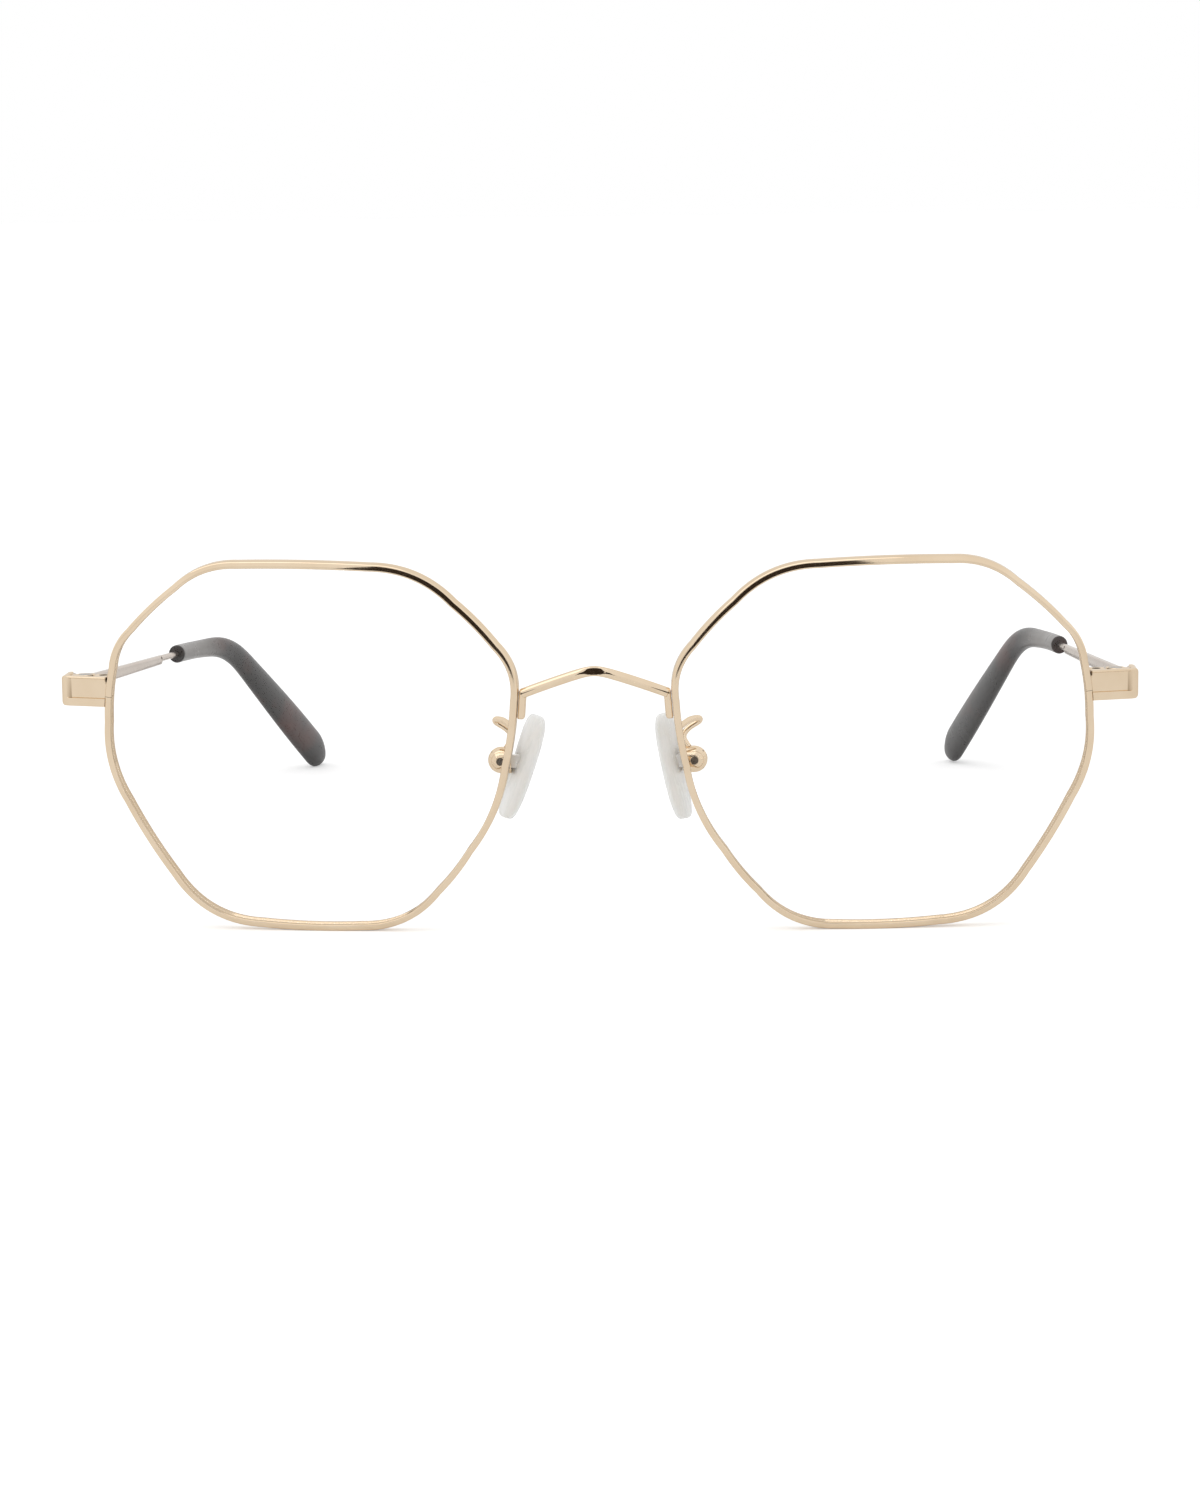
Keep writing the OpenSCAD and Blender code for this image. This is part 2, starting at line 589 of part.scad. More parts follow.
module hinge_front(side) color(gold) place(side) translate([hinge_x, hinge_y, endpiece_z]) difference() {
    depth = hinge_y - plaque_back_y - braze;
    width = arm_inner_x - hinge_x - braze;
    union() {
        for (low = [-hinge_h / 2, hinge_h / 2 - outer_knuckle_h]) translate([0, 0, low]) {
            cylinder(d = barrel_d, h = outer_knuckle_h);
            translate([0, -depth, 0]) cube([width, depth, outer_knuckle_h]);
        }
        translate([0, -depth, -hinge_h / 2]) cube([width, hinge_plate_t, hinge_h]);
    }
    cylinder(r = hinge_screw_d / 2 + screw_hole_gap, h = 2 * hinge_h, center = true);
    translate([0, 0, hinge_h / 2 - head_h]) cylinder(r = hinge_head_d / 2 + screw_hole_gap, h = hinge_h);
}

module hinge_temple(side) color(gold) place(side) translate([hinge_x, hinge_y, endpiece_z]) difference() {
    reach = head_y - hinge_y;
    foot = 2;
    width = arm_x - bar_t - hinge_x - braze - temple_toe_room;
    translate([0, 0, -knuckle_h / 2]) {
        cylinder(d = barrel_d, h = knuckle_h);
        cube([barrel_d / 2, reach + foot, knuckle_h]);
        translate([barrel_d / 4, reach, 0]) cube([width - barrel_d / 4, foot, knuckle_h]);
    }
    cylinder(d = hinge_screw_d + 2 * hinge_fit, h = 2 * hinge_h, center = true);
}

module hinge_screw(side) color(steel) place(side) translate([hinge_x, hinge_y, endpiece_z]) difference() {
    union() {
        translate([0, 0, -hinge_h / 2]) cylinder(d = hinge_screw_d, h = hinge_h - head_h / 2);
        translate([0, 0, hinge_h / 2 - head_h + screw_hole_gap])
            cylinder(d = hinge_head_d, h = head_h - screw_hole_gap);
    }
    translate([0, 0, hinge_h / 2]) rotate([180, 0, 0]) screw_slot(hinge_head_d);
}

// Section of the bar at length s: a tall head that narrows to the bar, then a step down to the core wire
head_stations = [0, 0.25, 0.5, 0.75, 1];

function bar_profile(top, low, t) =
    let (h = t / 2, b = min(0.2, t / 4), mid = (top + low) / 2)
    [[h - b, low], [h, low + b], [h, mid], [h, top - b], [h - b, top], [b - h, top], [-h, mid], [b - h, low]];
function core_profile(d) = oval(d / 2, d / 2, wire_sides);

core_end = temple_l - tip_cover;
core_stations = [for (s = tip_stations) if (s > tip_at && s < core_end - 1) s, core_end];

module temple(side) color(gold) place(side) {
    low = core_d / 2 - bar_h;
    mid = core_d / 2 - bar_h / 2;
    tall = plaque_h / 2 - 0.1;
    skin(concat(
        [for (t = head_stations) let (k = smooth(t))
            wire_ring(wire, temple_slope * smooth(t * 2), wire_offset + head_l * t,
                bar_profile(mix(mid + tall, core_d / 2, k), mix(mid - tall, low, k), bar_t))],
        [for (t = [0.34, 0.67, 1]) wire_ring(wire, temple_slope, mix(wire_offset + head_l, step_at, t),
            bar_profile(core_d / 2, mix(low, core_d / 2 - bar_end_h, t), bar_t))]));
    skin(concat(
        [wire_ring(wire, temple_slope, step_at - 1, core_profile(core_d * 0.98))],
        [wire_ring(wire, temple_slope, tip_at, core_profile(core_d))],
        [for (s = core_stations) wire_ring(wire, temple_slope, s, core_profile(core_d))]));
}

// The tip has a blind bore for the core wire, which bends with it
module temple_tip(side) color(dark_tip) place(side)
    bored_skin([for (s = tip_stations) tip_ring(wire, temple_slope, s)],
        [for (s = concat([tip_at], core_stations, [core_end + 0.3]))
            wire_ring(wire, temple_slope, s, core_profile(core_d + 2 * core_fit))]);

// Path of a pad arm: back and out from the rim, round its loop, then down into the box
box_top = screw_at + [0, 0, box_r];
arm_points = [pad_root,
    pad_root + [0.15, 1.1, 0.05],
    pad_root + [loop_out * 0.5, loop_back * 0.62, 0.6],
    pad_root + [loop_out - 0.25, loop_back * 0.92, 0.55],
    pad_root + [loop_out - 0.2, loop_back, 0.1],
    pad_root + [loop_out * 0.5, loop_back, -0.65],
    pad_root + [0.65, loop_back - 0.15, -1.35],
    pad_root + [0.5, mix(box_back, loop_back, 0.4), -2.1],
    box_top + [-0.75, 0, -0.15]];

// Curve through the points, each stretch shaped by its two neighbours
function spline(p, i, t) =
    let (a = p[max(0, i - 1)], b = p[i], c = p[i + 1], d = p[min(len(p) - 1, i + 2)])
    0.5 * (2 * b + (c - a) * t + (2 * a - 5 * b + 4 * c - d) * t * t + (3 * b - a - 3 * c + d) * pow(t, 3));
function spline_path(p, n) =
    concat([for (i = [0 : len(p) - 2]) for (k = [0 : n - 1]) spline(p, i, k / n)], [p[len(p) - 1]]);

// Frames carried along a path with no twist: each one keeps the last one's side, turned square to the path
function carried(path, i = 0, side = [0, 0, 1], list = []) =
    i >= len(path) ? list
    : let (f = unit(path[min(i + 1, len(path) - 1)] - path[max(0, i - 1)]), s = unit(side - f * (side * f)))
      carried(path, i + 1, s, concat(list, [[path[i], s, cross(f, s)]]));

module pad_arm(side) color(gold) place(side)
    skin([for (f = carried(spline_path(arm_points, 3)))
        [for (c = oval(pad_wire_d / 2, pad_wire_d / 2, 8)) f[0] + f[1] * c[1] + f[2] * c[0]]]);

// Pad box: a round cup that opens towards the nose, with a slot for the lug and a bore for the screw
lug_play = 0.2;
box_flat = 0.15;

module pad_box(side) color(gold) place(side) translate(screw_at) difference() {
    rotate([0, 90, 0]) rotate_extrude() difference() {
        union() {
            translate([0, -box_mouth]) square([box_r, box_l - box_r]);
            translate([0, box_l - box_r - box_mouth]) circle(box_r);
        }
        translate([-box_d, -2 * box_l]) square([box_d, 4 * box_l]);
        translate([0, -box_mouth - box_r]) square([box_r, box_r]);
    }
    translate([-box_mouth - 1, -box_slot / 2, -lug_r - lug_play])
        cube([box_mouth + 1 + lug_r + lug_play, box_slot, 2 * (lug_r + lug_play)]);
    rotate([90, 0, 0]) cylinder(r = pad_screw_d / 2 + screw_hole_gap, h = 2 * box_d, center = true);
    for (turn = [0, 180]) rotate([0, 0, turn])
        translate([-box_l, box_r - box_flat, -box_r]) cube([2 * box_l, box_r, box_d]);
}

module pad_screw(side) color(steel) place(side) translate(screw_at)
    rotate([90, 0, 0]) cylinder(d = pad_screw_d, h = box_d - 2 * box_flat - 0.2, center = true);

// Frame of a nose pad: its length runs up and towards the nose, and its back edge stands out
module pad_frame() translate(pad_middle)
    rotate([0, -pad_tilt, 0]) rotate([-pad_lean, 0, 0]) rotate([0, 0, -pad_splay]) children();

// Plate inside the pad
plate = [0.6, 3, 6];

// Insert: a lug on the screw, a neck, and a plate that the pad is moulded round
module pad_insert(side) color(steel) place(side) difference() {
    union() {
        translate(screw_at) {
            rotate([90, 0, 0]) cylinder(r = lug_r, h = box_slot - 2 * turn_gap, center = true);
            translate([-pad_in, 2 * turn_gap - box_slot / 2, -lug_r])
                cube([pad_in, box_slot - 4 * turn_gap, 2 * lug_r - 0.3]);
        }
        pad_frame() cube(plate, center = true);
    }
    translate(screw_at) rotate([90, 0, 0]) cylinder(d = pad_screw_d + 2 * pad_fit, h = box_d, center = true);
}

// How full a nose pad's ends are: 2 gives an oval, and more a longer straight middle
pad_fullness = 3.5;
// How much a nose pad widens from its low end to its top end, as a share of its width
pad_spread = 0.12;

// Ring round a nose pad at angle a, from its low end at 0 to its top end at 180 degrees
function pad_x(z) = -pad_bow * (0.5 - pow(2 * z / pad_l, 2));
function pad_ring(a) =
    let (z = -pad_l / 2 * cos(a), k = pow(1 - pow(abs(cos(a)), pad_fullness), 1 / pad_fullness))
    [for (c = oval(pad_t / 2 * sqrt(k), pad_w / 2 * k * (1 + pad_spread * z / pad_l), 16))
        [c[0] + pad_x(z), -c[1], z]];

module nose_pad(side) color(clear_pad) place(side) pad_frame()
    fan_skin([pad_x(-pad_l / 2), 0, -pad_l / 2], [for (a = [6 : 12 : 174]) pad_ring(a)],
        [pad_x(pad_l / 2), 0, pad_l / 2]);

bridge();
rim(-1);  // rim_right
rim(1);  // rim_left
lens(-1);  // lens_right
lens(1);  // lens_left
closing_block_upper(-1);  // closing_block_upper_right
closing_block_upper(1);  // closing_block_upper_left
closing_block_lower(-1);  // closing_block_lower_right
closing_block_lower(1);  // closing_block_lower_left
closing_screw(-1);  // closing_screw_right
closing_screw(1);  // closing_screw_left
endpiece(-1);  // endpiece_right
endpiece(1);  // endpiece_left
hinge_front(-1);  // hinge_front_right
hinge_front(1);  // hinge_front_left
hinge_screw(-1);  // hinge_screw_right
hinge_screw(1);  // hinge_screw_left
hinge_temple(-1);  // hinge_temple_right
hinge_temple(1);  // hinge_temple_left
temple(-1);  // temple_right
temple(1);  // temple_left
temple_tip(-1);  // temple_tip_right
temple_tip(1);  // temple_tip_left
pad_arm(-1);  // pad_arm_right
pad_arm(1);  // pad_arm_left
pad_box(-1);  // pad_box_right
pad_box(1);  // pad_box_left
pad_screw(-1);  // pad_screw_right
pad_screw(1);  // pad_screw_left
pad_insert(-1);  // pad_insert_right
pad_insert(1);  // pad_insert_left
nose_pad(-1);  // nose_pad_right
nose_pad(1);  // nose_pad_left
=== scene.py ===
import math
import bmesh
import bpy
import numpy as np
from mathutils import Matrix


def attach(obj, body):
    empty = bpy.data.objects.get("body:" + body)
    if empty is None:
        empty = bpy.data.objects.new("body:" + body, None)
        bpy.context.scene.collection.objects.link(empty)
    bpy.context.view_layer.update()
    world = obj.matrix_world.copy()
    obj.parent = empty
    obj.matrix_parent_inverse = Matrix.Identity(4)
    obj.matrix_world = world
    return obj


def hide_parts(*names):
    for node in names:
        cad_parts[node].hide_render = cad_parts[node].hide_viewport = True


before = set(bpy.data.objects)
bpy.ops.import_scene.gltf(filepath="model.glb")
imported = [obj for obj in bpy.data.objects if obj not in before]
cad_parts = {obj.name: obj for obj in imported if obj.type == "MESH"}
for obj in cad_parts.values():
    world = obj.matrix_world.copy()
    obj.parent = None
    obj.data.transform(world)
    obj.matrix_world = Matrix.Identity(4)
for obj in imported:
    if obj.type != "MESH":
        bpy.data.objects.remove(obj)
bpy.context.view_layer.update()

mm = 0.001
sides = {"left": 1, "right": -1}    # the wearer's left lies at +X


# Small sums that the pieces share

def unitRows(a):    # each vector divided by its own length
    return a / np.linalg.norm(a, axis=-1, keepdims=True)


def ease(t):    # 3t^2 - 2t^3, held at 0 and 1 outside the range
    c = np.clip(t, 0, 1)
    return c * c * (3 - 2 * c)


def between(a, b, t):    # a plus t times the way to b
    return a + (b - a) * t


def ovalRing(halfX, halfY, count):    # cosine and sine of a full turn, times the two half sizes
    turn = 2 * np.pi * (np.arange(count) + 0.5) / count
    return np.stack([halfX * np.cos(turn), halfY * np.sin(turn)], -1)


def cutCorners(ring, share):    # every corner replaced by two points, a share of the way along its sides
    nextPoint = np.roll(ring, -1, axis=0)
    cuts = np.stack([between(ring, nextPoint, share), between(nextPoint, ring, share)], 1)
    return cuts.reshape(-1, ring.shape[1])


def alongPath(path, sideways, over, a, b):    # at each place of a path, points that lie a sideways and b over
    return path[:, None] + sideways[:, None] * a + over[:, None] * b


def tubeShell(rings, firstPole=None, lastPole=None):
    # skin over a row of closed rings: quads between neighbours, and a fan to a pole at each end
    n, m = rings.shape[:2]
    firstPole = rings[0].mean(0) if firstPole is None else firstPole
    lastPole = rings[-1].mean(0) if lastPole is None else lastPole
    points = np.vstack([rings.reshape(-1, 3), firstPole, lastPole])
    row, col = np.meshgrid(np.arange(n - 1) * m, np.arange(m), indexing="ij")
    a, b = (row + col).ravel(), (row + (col + 1) % m).ravel()
    quads = np.stack([a, b, b + m, a + m], -1)
    j, k = np.arange(m), (np.arange(m) + 1) % m
    firstFan = np.stack([k, j, np.full(m, n * m)], -1)
    lastFan = np.stack([(n - 1) * m + j, (n - 1) * m + k, np.full(m, n * m + 1)], -1)
    return points, quads, np.vstack([firstFan, lastFan])


def placedShell(shell, side):
    # mirrored to its side, moved to the part's origin, and turned outwards by the sign of its volume
    points, quads, fans = shell
    points = points * [side, 1, 1] + [0, shiftY, 0]
    tris = np.vstack([quads[:, :3], quads[:, [0, 2, 3]], fans])
    a, b, c = points[tris].transpose(1, 0, 2)
    if (a * np.cross(b, c)).sum() < 0:
        quads, fans = quads[:, ::-1], fans[:, ::-1]
    return points, quads, fans


def makePiece(name, shells, material, body, replaced, side=1, sharp=32, shade=None):
    # the shells joined in one mesh, in metres; the shade is one value from 0 to 1 for each point, the share
    # of painted shade or painted sheen that its material mixes in
    points, faces, start = [], [], 0
    for shell in shells:
        p, quads, fans = placedShell(shell, side)
        points.append(p * mm)
        faces += (quads + start).tolist() + (fans + start).tolist()
        start += len(p)
    mesh = bpy.data.meshes.new(name)
    mesh.from_pydata(np.vstack(points).tolist(), [], faces)
    mesh.update()
    if shade is not None:
        mesh.attributes.new("shade", "FLOAT", "POINT").data.foreach_set("value", shade.astype(np.float32))
    return finishPiece(name, mesh, material, body, replaced, sharp)


def finishPiece(name, mesh, material, body, replaced, sharp):
    # smooth but for edges that turn more than the sharp angle, then given its material, put on its body, and
    # the parts it replaces hidden
    mesh.shade_smooth()
    mesh.set_sharp_from_angle(angle=math.radians(sharp))
    mesh.materials.append(material)
    piece = bpy.data.objects.new(name, mesh)
    bpy.context.scene.collection.objects.link(piece)
    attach(piece, body)
    if replaced:
        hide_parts(*replaced)
    return piece


# Materials. Every pattern reads the piece's own coordinates, in metres.

def linear(r, g, b):    # a colour written from 0 to 255, as the light it stands for
    c = np.array([r, g, b]) / 255
    return tuple(float(v) for v in np.where(c < 0.04045, c / 12.92, ((c + 0.055) / 1.055) ** 2.4))


class Finish:    # a material with one Principled shader
    def __init__(self, name, **values):
        self.material = bpy.data.materials.new(name)
        self.material.use_nodes = True
        self.tree = self.material.node_tree
        self.tree.nodes.clear()
        self.out = self.node("ShaderNodeOutputMaterial")
        self.shader = self.node("ShaderNodeBsdfPrincipled")
        self.link(self.shader.outputs[0], self.out.inputs[0])
        self.place = self.node("ShaderNodeTexCoord").outputs["Object"]
        for socket, value in values.items():
            self.shader.inputs[socket.replace("_", " ")].default_value = value

    def node(self, kind, **settings):    # a setting fills the input of that name, if the node has one
        n = self.tree.nodes.new(kind)
        for key, value in settings.items():
            if key in n.inputs:
                n.inputs[key].default_value = value
            else:
                setattr(n, key, value)
        return n

    def link(self, a, b):
        self.tree.links.new(a, b)

    def stretched(self, scale):    # the piece's coordinates, squeezed along one axis to draw a pattern out
        n = self.node("ShaderNodeMapping", Scale=scale)
        self.link(self.place, n.inputs["Vector"])
        return n.outputs[0]

    def noise(self, scale, detail=4, rough=0.55, stretch=(1, 1, 1)):    # layered, scale blobs to the metre
        n = self.node("ShaderNodeTexNoise", Scale=scale, Detail=detail, Roughness=rough)
        self.link(self.stretched(stretch), n.inputs["Vector"])
        return n.outputs[0]

    def ramp(self, value, stops):    # stops are (place, colour) or (place, value)
        n = self.node("ShaderNodeValToRGB")
        while len(n.color_ramp.elements) < len(stops):
            n.color_ramp.elements.new(0.5)
        for e, (at, colour) in zip(n.color_ramp.elements, stops):
            e.position = at
            e.color = (*colour, 1) if isinstance(colour, tuple) else (colour, colour, colour, 1)
        self.link(value, n.inputs[0])
        return n.outputs[0]

    def mix(self, a, b, share):    # a plus the share of the way to b, each a colour or a socket
        n = self.node("ShaderNodeMix", data_type="RGBA")
        for socket, value in ((n.inputs[0], share), (n.inputs[6], a), (n.inputs[7], b)):
            if isinstance(value, bpy.types.NodeSocket):
                self.link(value, socket)
            else:
                socket.default_value = (*value, 1) if isinstance(value, tuple) else value
        return n.outputs[2]

    def drive(self, socket, value):
        self.link(value, self.shader.inputs[socket])

    def bump(self, heights):    # heights are (value, depth in metres, strength), laid over each other
        last = None
        for value, depth, strength in heights:
            n = self.node("ShaderNodeBump", Strength=strength, Distance=depth)
            self.link(value, n.inputs["Height"])
            if last:
                self.link(last, n.inputs["Normal"])
            last = n.outputs[0]
        self.drive("Normal", last)


frontGold = {
    "tone": (233, 213, 186),
    "deepTone": (226, 204, 175),
    "edgeTone": (238, 230, 218),    # what the metal turns to where it is seen along its surface
    "paintedShadeTone": (158, 134, 106),    # painted shade on the rims' inner sides, the panel's scoop and the notch beside the rim
    "polish": 0.05,
    "wear": 0.12,
}
templeGold = {
    "tone": (230, 221, 213),
    "deepTone": (221, 210, 201),
    "edgeTone": (226, 222, 218),
    "paintedShadeTone": (120, 104, 92),
    "polish": 0.1,
    "wear": 0.22,
}
steelTones = {    # the two tones that the grain mixes
    "brushedSteel": ((196, 192, 186), (164, 158, 150)),
    # painted shade: the pad screws' steel is darkened to stand for the shade in their holes
    "paintedShadeSteel": ((126, 119, 111), (78, 71, 64)),
    # painted light: the inserts' steel is kept pale so that their lugs don't show dark in the shade beside
    # the pads
    "paintedLightInsert": ((236, 234, 230), (222, 220, 215)),
}
lensResin = {
    "tone": (253, 254, 254),
    "coolTone": (250, 253, 252),
    "bending": 1.7,    # index of refraction
    "body": 0.015,    # share of the light that it bends and mirrors
    "shadowTone": (0.97, 0.98, 0.98, 1),    # what the lamps keep on their way through
}
padRubber = {
    "tone": (254, 255, 252),
    "hazeTone": (238, 241, 237),
    "warmTone": (255, 252, 245),
    "cloudy": 0.5,    # share of the light that wanders inside it
    "wander": 0.002,    # how far it wanders, in metres
    "polish": 0.14,
    "wear": 0.34,
}
tipAcetate = {
    "tone": (30, 27, 26),
    "fleckTone": (44, 39, 36),
    "patchTone": (78, 44, 36),
    # painted sheen: the paler grey that stands for the bright surroundings mirrored along the tip
    "paintedSheenTone": (116, 111, 107),
    "bending": 1.33,
    "polish": 0.26,
    "wear": 0.34,
}


def platedGold(name, tone, deepTone, edgeTone, paintedShadeTone, polish, wear):
    # thin champagne plating: a slow drift of tone, a fine haze from wiping, and hairline scratches; painted
    # shade mixed in where the shade attribute says
    f = Finish(name, Metallic=1.0, Specular_Tint=(*linear(*edgeTone), 1))
    drift = f.noise(160, 3)
    plated = f.mix(linear(*tone), linear(*deepTone), f.ramp(drift, [(0.35, 0.0), (0.7, 1.0)]))
    # painted shade: the colour darkens towards the painted shade tone where the shade attribute is set
    inside = f.node("ShaderNodeAttribute", attribute_name="shade").outputs["Fac"]
    f.drive("Base Color", f.mix(plated, linear(*paintedShadeTone), inside))
    haze = f.noise(900, 6, 0.7)
    f.drive("Roughness", f.ramp(haze, [(0.3, polish), (0.8, wear)]))
    hairlines = f.noise(2600, 3, 0.6, (1, 0.12, 1))
    f.bump([(hairlines, 0.00002, 0.02)])
    return f.material


def brushedSteel(name, tones):
    # one fine grain, drawn out along Z, moves the tone, the roughness and the height together
    f = Finish(name, Metallic=1.0)
    grain = f.noise(5200, 4, 0.6, (1, 1, 0.2))
    f.drive("Base Color", f.mix(linear(*tones[0]), linear(*tones[1]), grain))
    f.drive("Roughness", f.ramp(grain, [(0.2, 0.22), (0.8, 0.42)]))
    f.bump([(grain, 0.000008, 0.4)])
    return f.material


def clearLens(name, tone, coolTone, bending, body, shadowTone):
    # coated resin: a little of it bends and mirrors the light, and the rest lets it straight through
    f = Finish(name, Roughness=0.0, IOR=bending, Transmission_Weight=1.0, Alpha=body)
    breath = f.noise(45, 2)
    f.drive("Base Color", f.mix(linear(*tone), linear(*coolTone), breath))
    lamps = f.node("ShaderNodeLightPath").outputs["Is Shadow Ray"]
    through = f.node("ShaderNodeBsdfTransparent")
    through.inputs[0].default_value = shadowTone
    either = f.node("ShaderNodeMixShader")
    f.link(lamps, either.inputs[0])
    f.link(f.shader.outputs[0], either.inputs[1])
    f.link(through.outputs[0], either.inputs[2])
    f.link(either.outputs[0], f.out.inputs[0])
    return f.material


def milkyPad(name, tone, hazeTone, warmTone, cloudy, wander, polish, wear):
    # soft pad gone cloudy: long streaks of haze, drawn out along the pad
    f = Finish(name, IOR=1.41, Transmission_Weight=0.04, Subsurface_Weight=cloudy,
               Subsurface_Scale=wander, Sheen_Weight=0.35, Sheen_Roughness=0.5)
    f.shader.inputs["Subsurface Radius"].default_value = (1, 1, 0.95)
    streaks = f.noise(900, 5, 0.65, (1, 1, 0.16))
    cloud = f.noise(260, 3)
    pale = f.mix(linear(*tone), linear(*hazeTone), f.ramp(streaks, [(0.42, 0.0), (0.66, 1.0)]))
    f.drive("Base Color", f.mix(pale, linear(*warmTone), f.ramp(cloud, [(0.45, 0.0), (0.75, 0.6)])))
    f.drive("Roughness", f.ramp(streaks, [(0.3, polish), (0.75, wear)]))
    f.bump([(streaks, 0.00003, 0.2), (cloud, 0.0001, 0.15)])
    return f.material


def tortoiseTip(name, tone, fleckTone, patchTone, paintedSheenTone, bending, polish, wear):
    # dark grey-brown acetate with soft reddish patches, a painted sheen of paler grey where the shade says,
    # tumbled smooth
    f = Finish(name, IOR=bending)
    patches = f.noise(95, 3, 0.5, (1, 0.6, 1))
    flecks = f.noise(420, 5, 0.6, (1, 0.5, 1))
    ground = f.mix(linear(*tone), linear(*fleckTone), flecks)
    spotted = f.mix(ground, linear(*patchTone), f.ramp(patches, [(0.56, 0.0), (0.72, 0.85)]))
    # painted sheen: paler grey where the shade attribute is set
    paintedSheenShare = f.node("ShaderNodeAttribute", attribute_name="shade").outputs["Fac"]
    f.drive("Base Color", f.mix(spotted, linear(*paintedSheenTone), paintedSheenShare))
    f.drive("Roughness", f.ramp(f.noise(300, 3), [(0.3, polish), (0.8, wear)]))
    return f.material


gold = platedGold("frontGold", **frontGold)
palerGold = platedGold("templeGold", **templeGold)
steel, paintedShadeSteel, paintedLightInsert = (brushedSteel(name, tones) for name, tones in steelTones.items())
lensClear = clearLens("clearLens", **lensResin)
padClear = milkyPad("milkyPad", **padRubber)
tipDark = tortoiseTip("tortoiseTip", **tipAcetate)
print("materials are made")


# The eyes: both rims, both lenses and what is fitted to them follow this outline

eyes = {
    "width": 54.1,
    "height": 48.7,
    "noseGap": 21.0,
    "faceTurn": 4.5,
    "frontLean": 5.0,
    "lensRadius": 130.0,
    "sideBow": 0.2,
    "middleUp": 24.3683,    # height of the eyes' middle above the floor
    # each corner's place across and up, and what its rounding takes off a side, as shares of the half sizes
    "corners": [[0.95, 0.55, 0.123], [0.506, 0.998, 0.197], [-0.548, 0.976, 0.263],
                [-1.012, 0.426, 0.172], [-0.905, -0.354, 0.263], [-0.448, -0.996, 0.263],
                [0.559, -0.97, 0.31], [1.019, -0.098, 0.234]],
}
shiftY = -71.8975    # moves the pieces so that the part's origin is under the middle of its box
halfEye = np.array([eyes["width"], eyes["height"]]) / 2
cornerPoints = np.array(eyes["corners"])[:, :2] * halfEye
cornerCuts = np.array(eyes["corners"])[:, 2] * halfEye[1]
sideShare = 0.6    # share of a side's parameter range that runs along the side, before its corner
outerSide, nasalSide = 7, 3


def sideAt(i, t):
    # straight run from one corner to the next, less what the roundings take, bowed outwards by a parabola
    a, b = cornerPoints[i % 8], cornerPoints[(i + 1) % 8]
    e = unitRows(b - a)
    out = np.stack([e[..., 1], -e[..., 0]], -1)
    start, end = a + e * cornerCuts[i % 8][..., None], b - e * cornerCuts[(i + 1) % 8][..., None]
    t = t[..., None]
    return between(start, end, t) + out * eyes["sideBow"] * 4 * t * (1 - t)


def cornerArc(i, t):
    # parabola from the end of one side to the start of the next, drawn towards the corner's point
    a, b, c = cornerPoints[(i - 1) % 8], cornerPoints[i % 8], cornerPoints[(i + 1) % 8]
    cut = cornerCuts[i % 8][..., None]
    p, q = b + unitRows(a - b) * cut, b + unitRows(c - b) * cut
    t = t[..., None]
    return p * (1 - t) ** 2 + b * 2 * t * (1 - t) + q * t * t


def eyeOutline(q):    # side and corner in turn: the whole part of q picks the side
    q = np.asarray(q, float) % 8
    i = np.floor(q).astype(int)
    f = q - i
    along = sideAt(i, np.minimum(f / sideShare, 1))
    rounding = cornerArc(i + 1, np.maximum(f - sideShare, 0) / (1 - sideShare))
    return np.where((f < sideShare)[..., None], along, rounding)


def eyeOutward(q):    # the outline's direction over a short stretch, turned a quarter outwards
    stretch = 0.01
    e = unitRows(eyeOutline(np.asarray(q) + stretch) - eyeOutline(np.asarray(q) - stretch))
    return np.stack([e[..., 1], -e[..., 0]], -1)


def sideHeight(i, v):    # place on side i at height v
    low, high = sideAt(np.array([i]), np.array([0.0]))[0, 1], sideAt(np.array([i]), np.array([1.0]))[0, 1]
    return i + sideShare * (v - low) / (high - low)


turnAngle, leanAngle = math.radians(eyes["faceTurn"]), math.radians(eyes["frontLean"])
across = np.array([math.cos(turnAngle), math.sin(turnAngle), 0])
upRaw = np.array([0, -math.sin(leanAngle), math.cos(leanAngle)])
upward = unitRows(upRaw - across * (upRaw @ across))
backward = np.cross(upward, across)
nasalReach = -eyeOutline(nasalSide - 0.4 + np.linspace(0, 1, 21))[:, 0].min()
eyeMiddle = np.array([eyes["noseGap"] / 2 + nasalReach * math.cos(turnAngle), 0, eyes["middleUp"]])


def eyePoint(u, v, d):
    # u towards the temple, v up and d back, on the lens's sphere, whose depth is the distance squared
    # over twice the radius
    u, v, d = np.broadcast_arrays(u, v, d)
    depth = (u * u + v * v) / (2 * eyes["lensRadius"]) + d
    return eyeMiddle + u[..., None] * across + v[..., None] * upward + depth[..., None] * backward


def rimPoint(q, r, d):    # the outline's point at q, moved r outwards and d back
    p = eyeOutline(q) + eyeOutward(q) * np.asarray(r)[..., None]
    return eyePoint(p[..., 0], p[..., 1], d)


# Rims

rims = {
    "wall": 0.9,
    "depth": 1.9,
    "edgeRound": 0.16,    # radius of the wire's edges
    "faceRadius": 3.0,    # radius of the gentle crown across its front
    "splitGap": 0.002,    # half the gap between the rim's two ends, as a share of a side's range
    "grooveDepth": 0.4,
    "grooveWidth": 0.9,
    "grooveFloor": 0.1,    # width of the groove at its bottom
    "insideReach": 0.06,    # how far the painted shade on the inner side reaches round its edges
    "insideShade": 0.5,
    "splitBelow": 0.8,    # how far the split lies below the endpiece's middle
    "endpieceUp": 7.45,
}
braze = 0.03


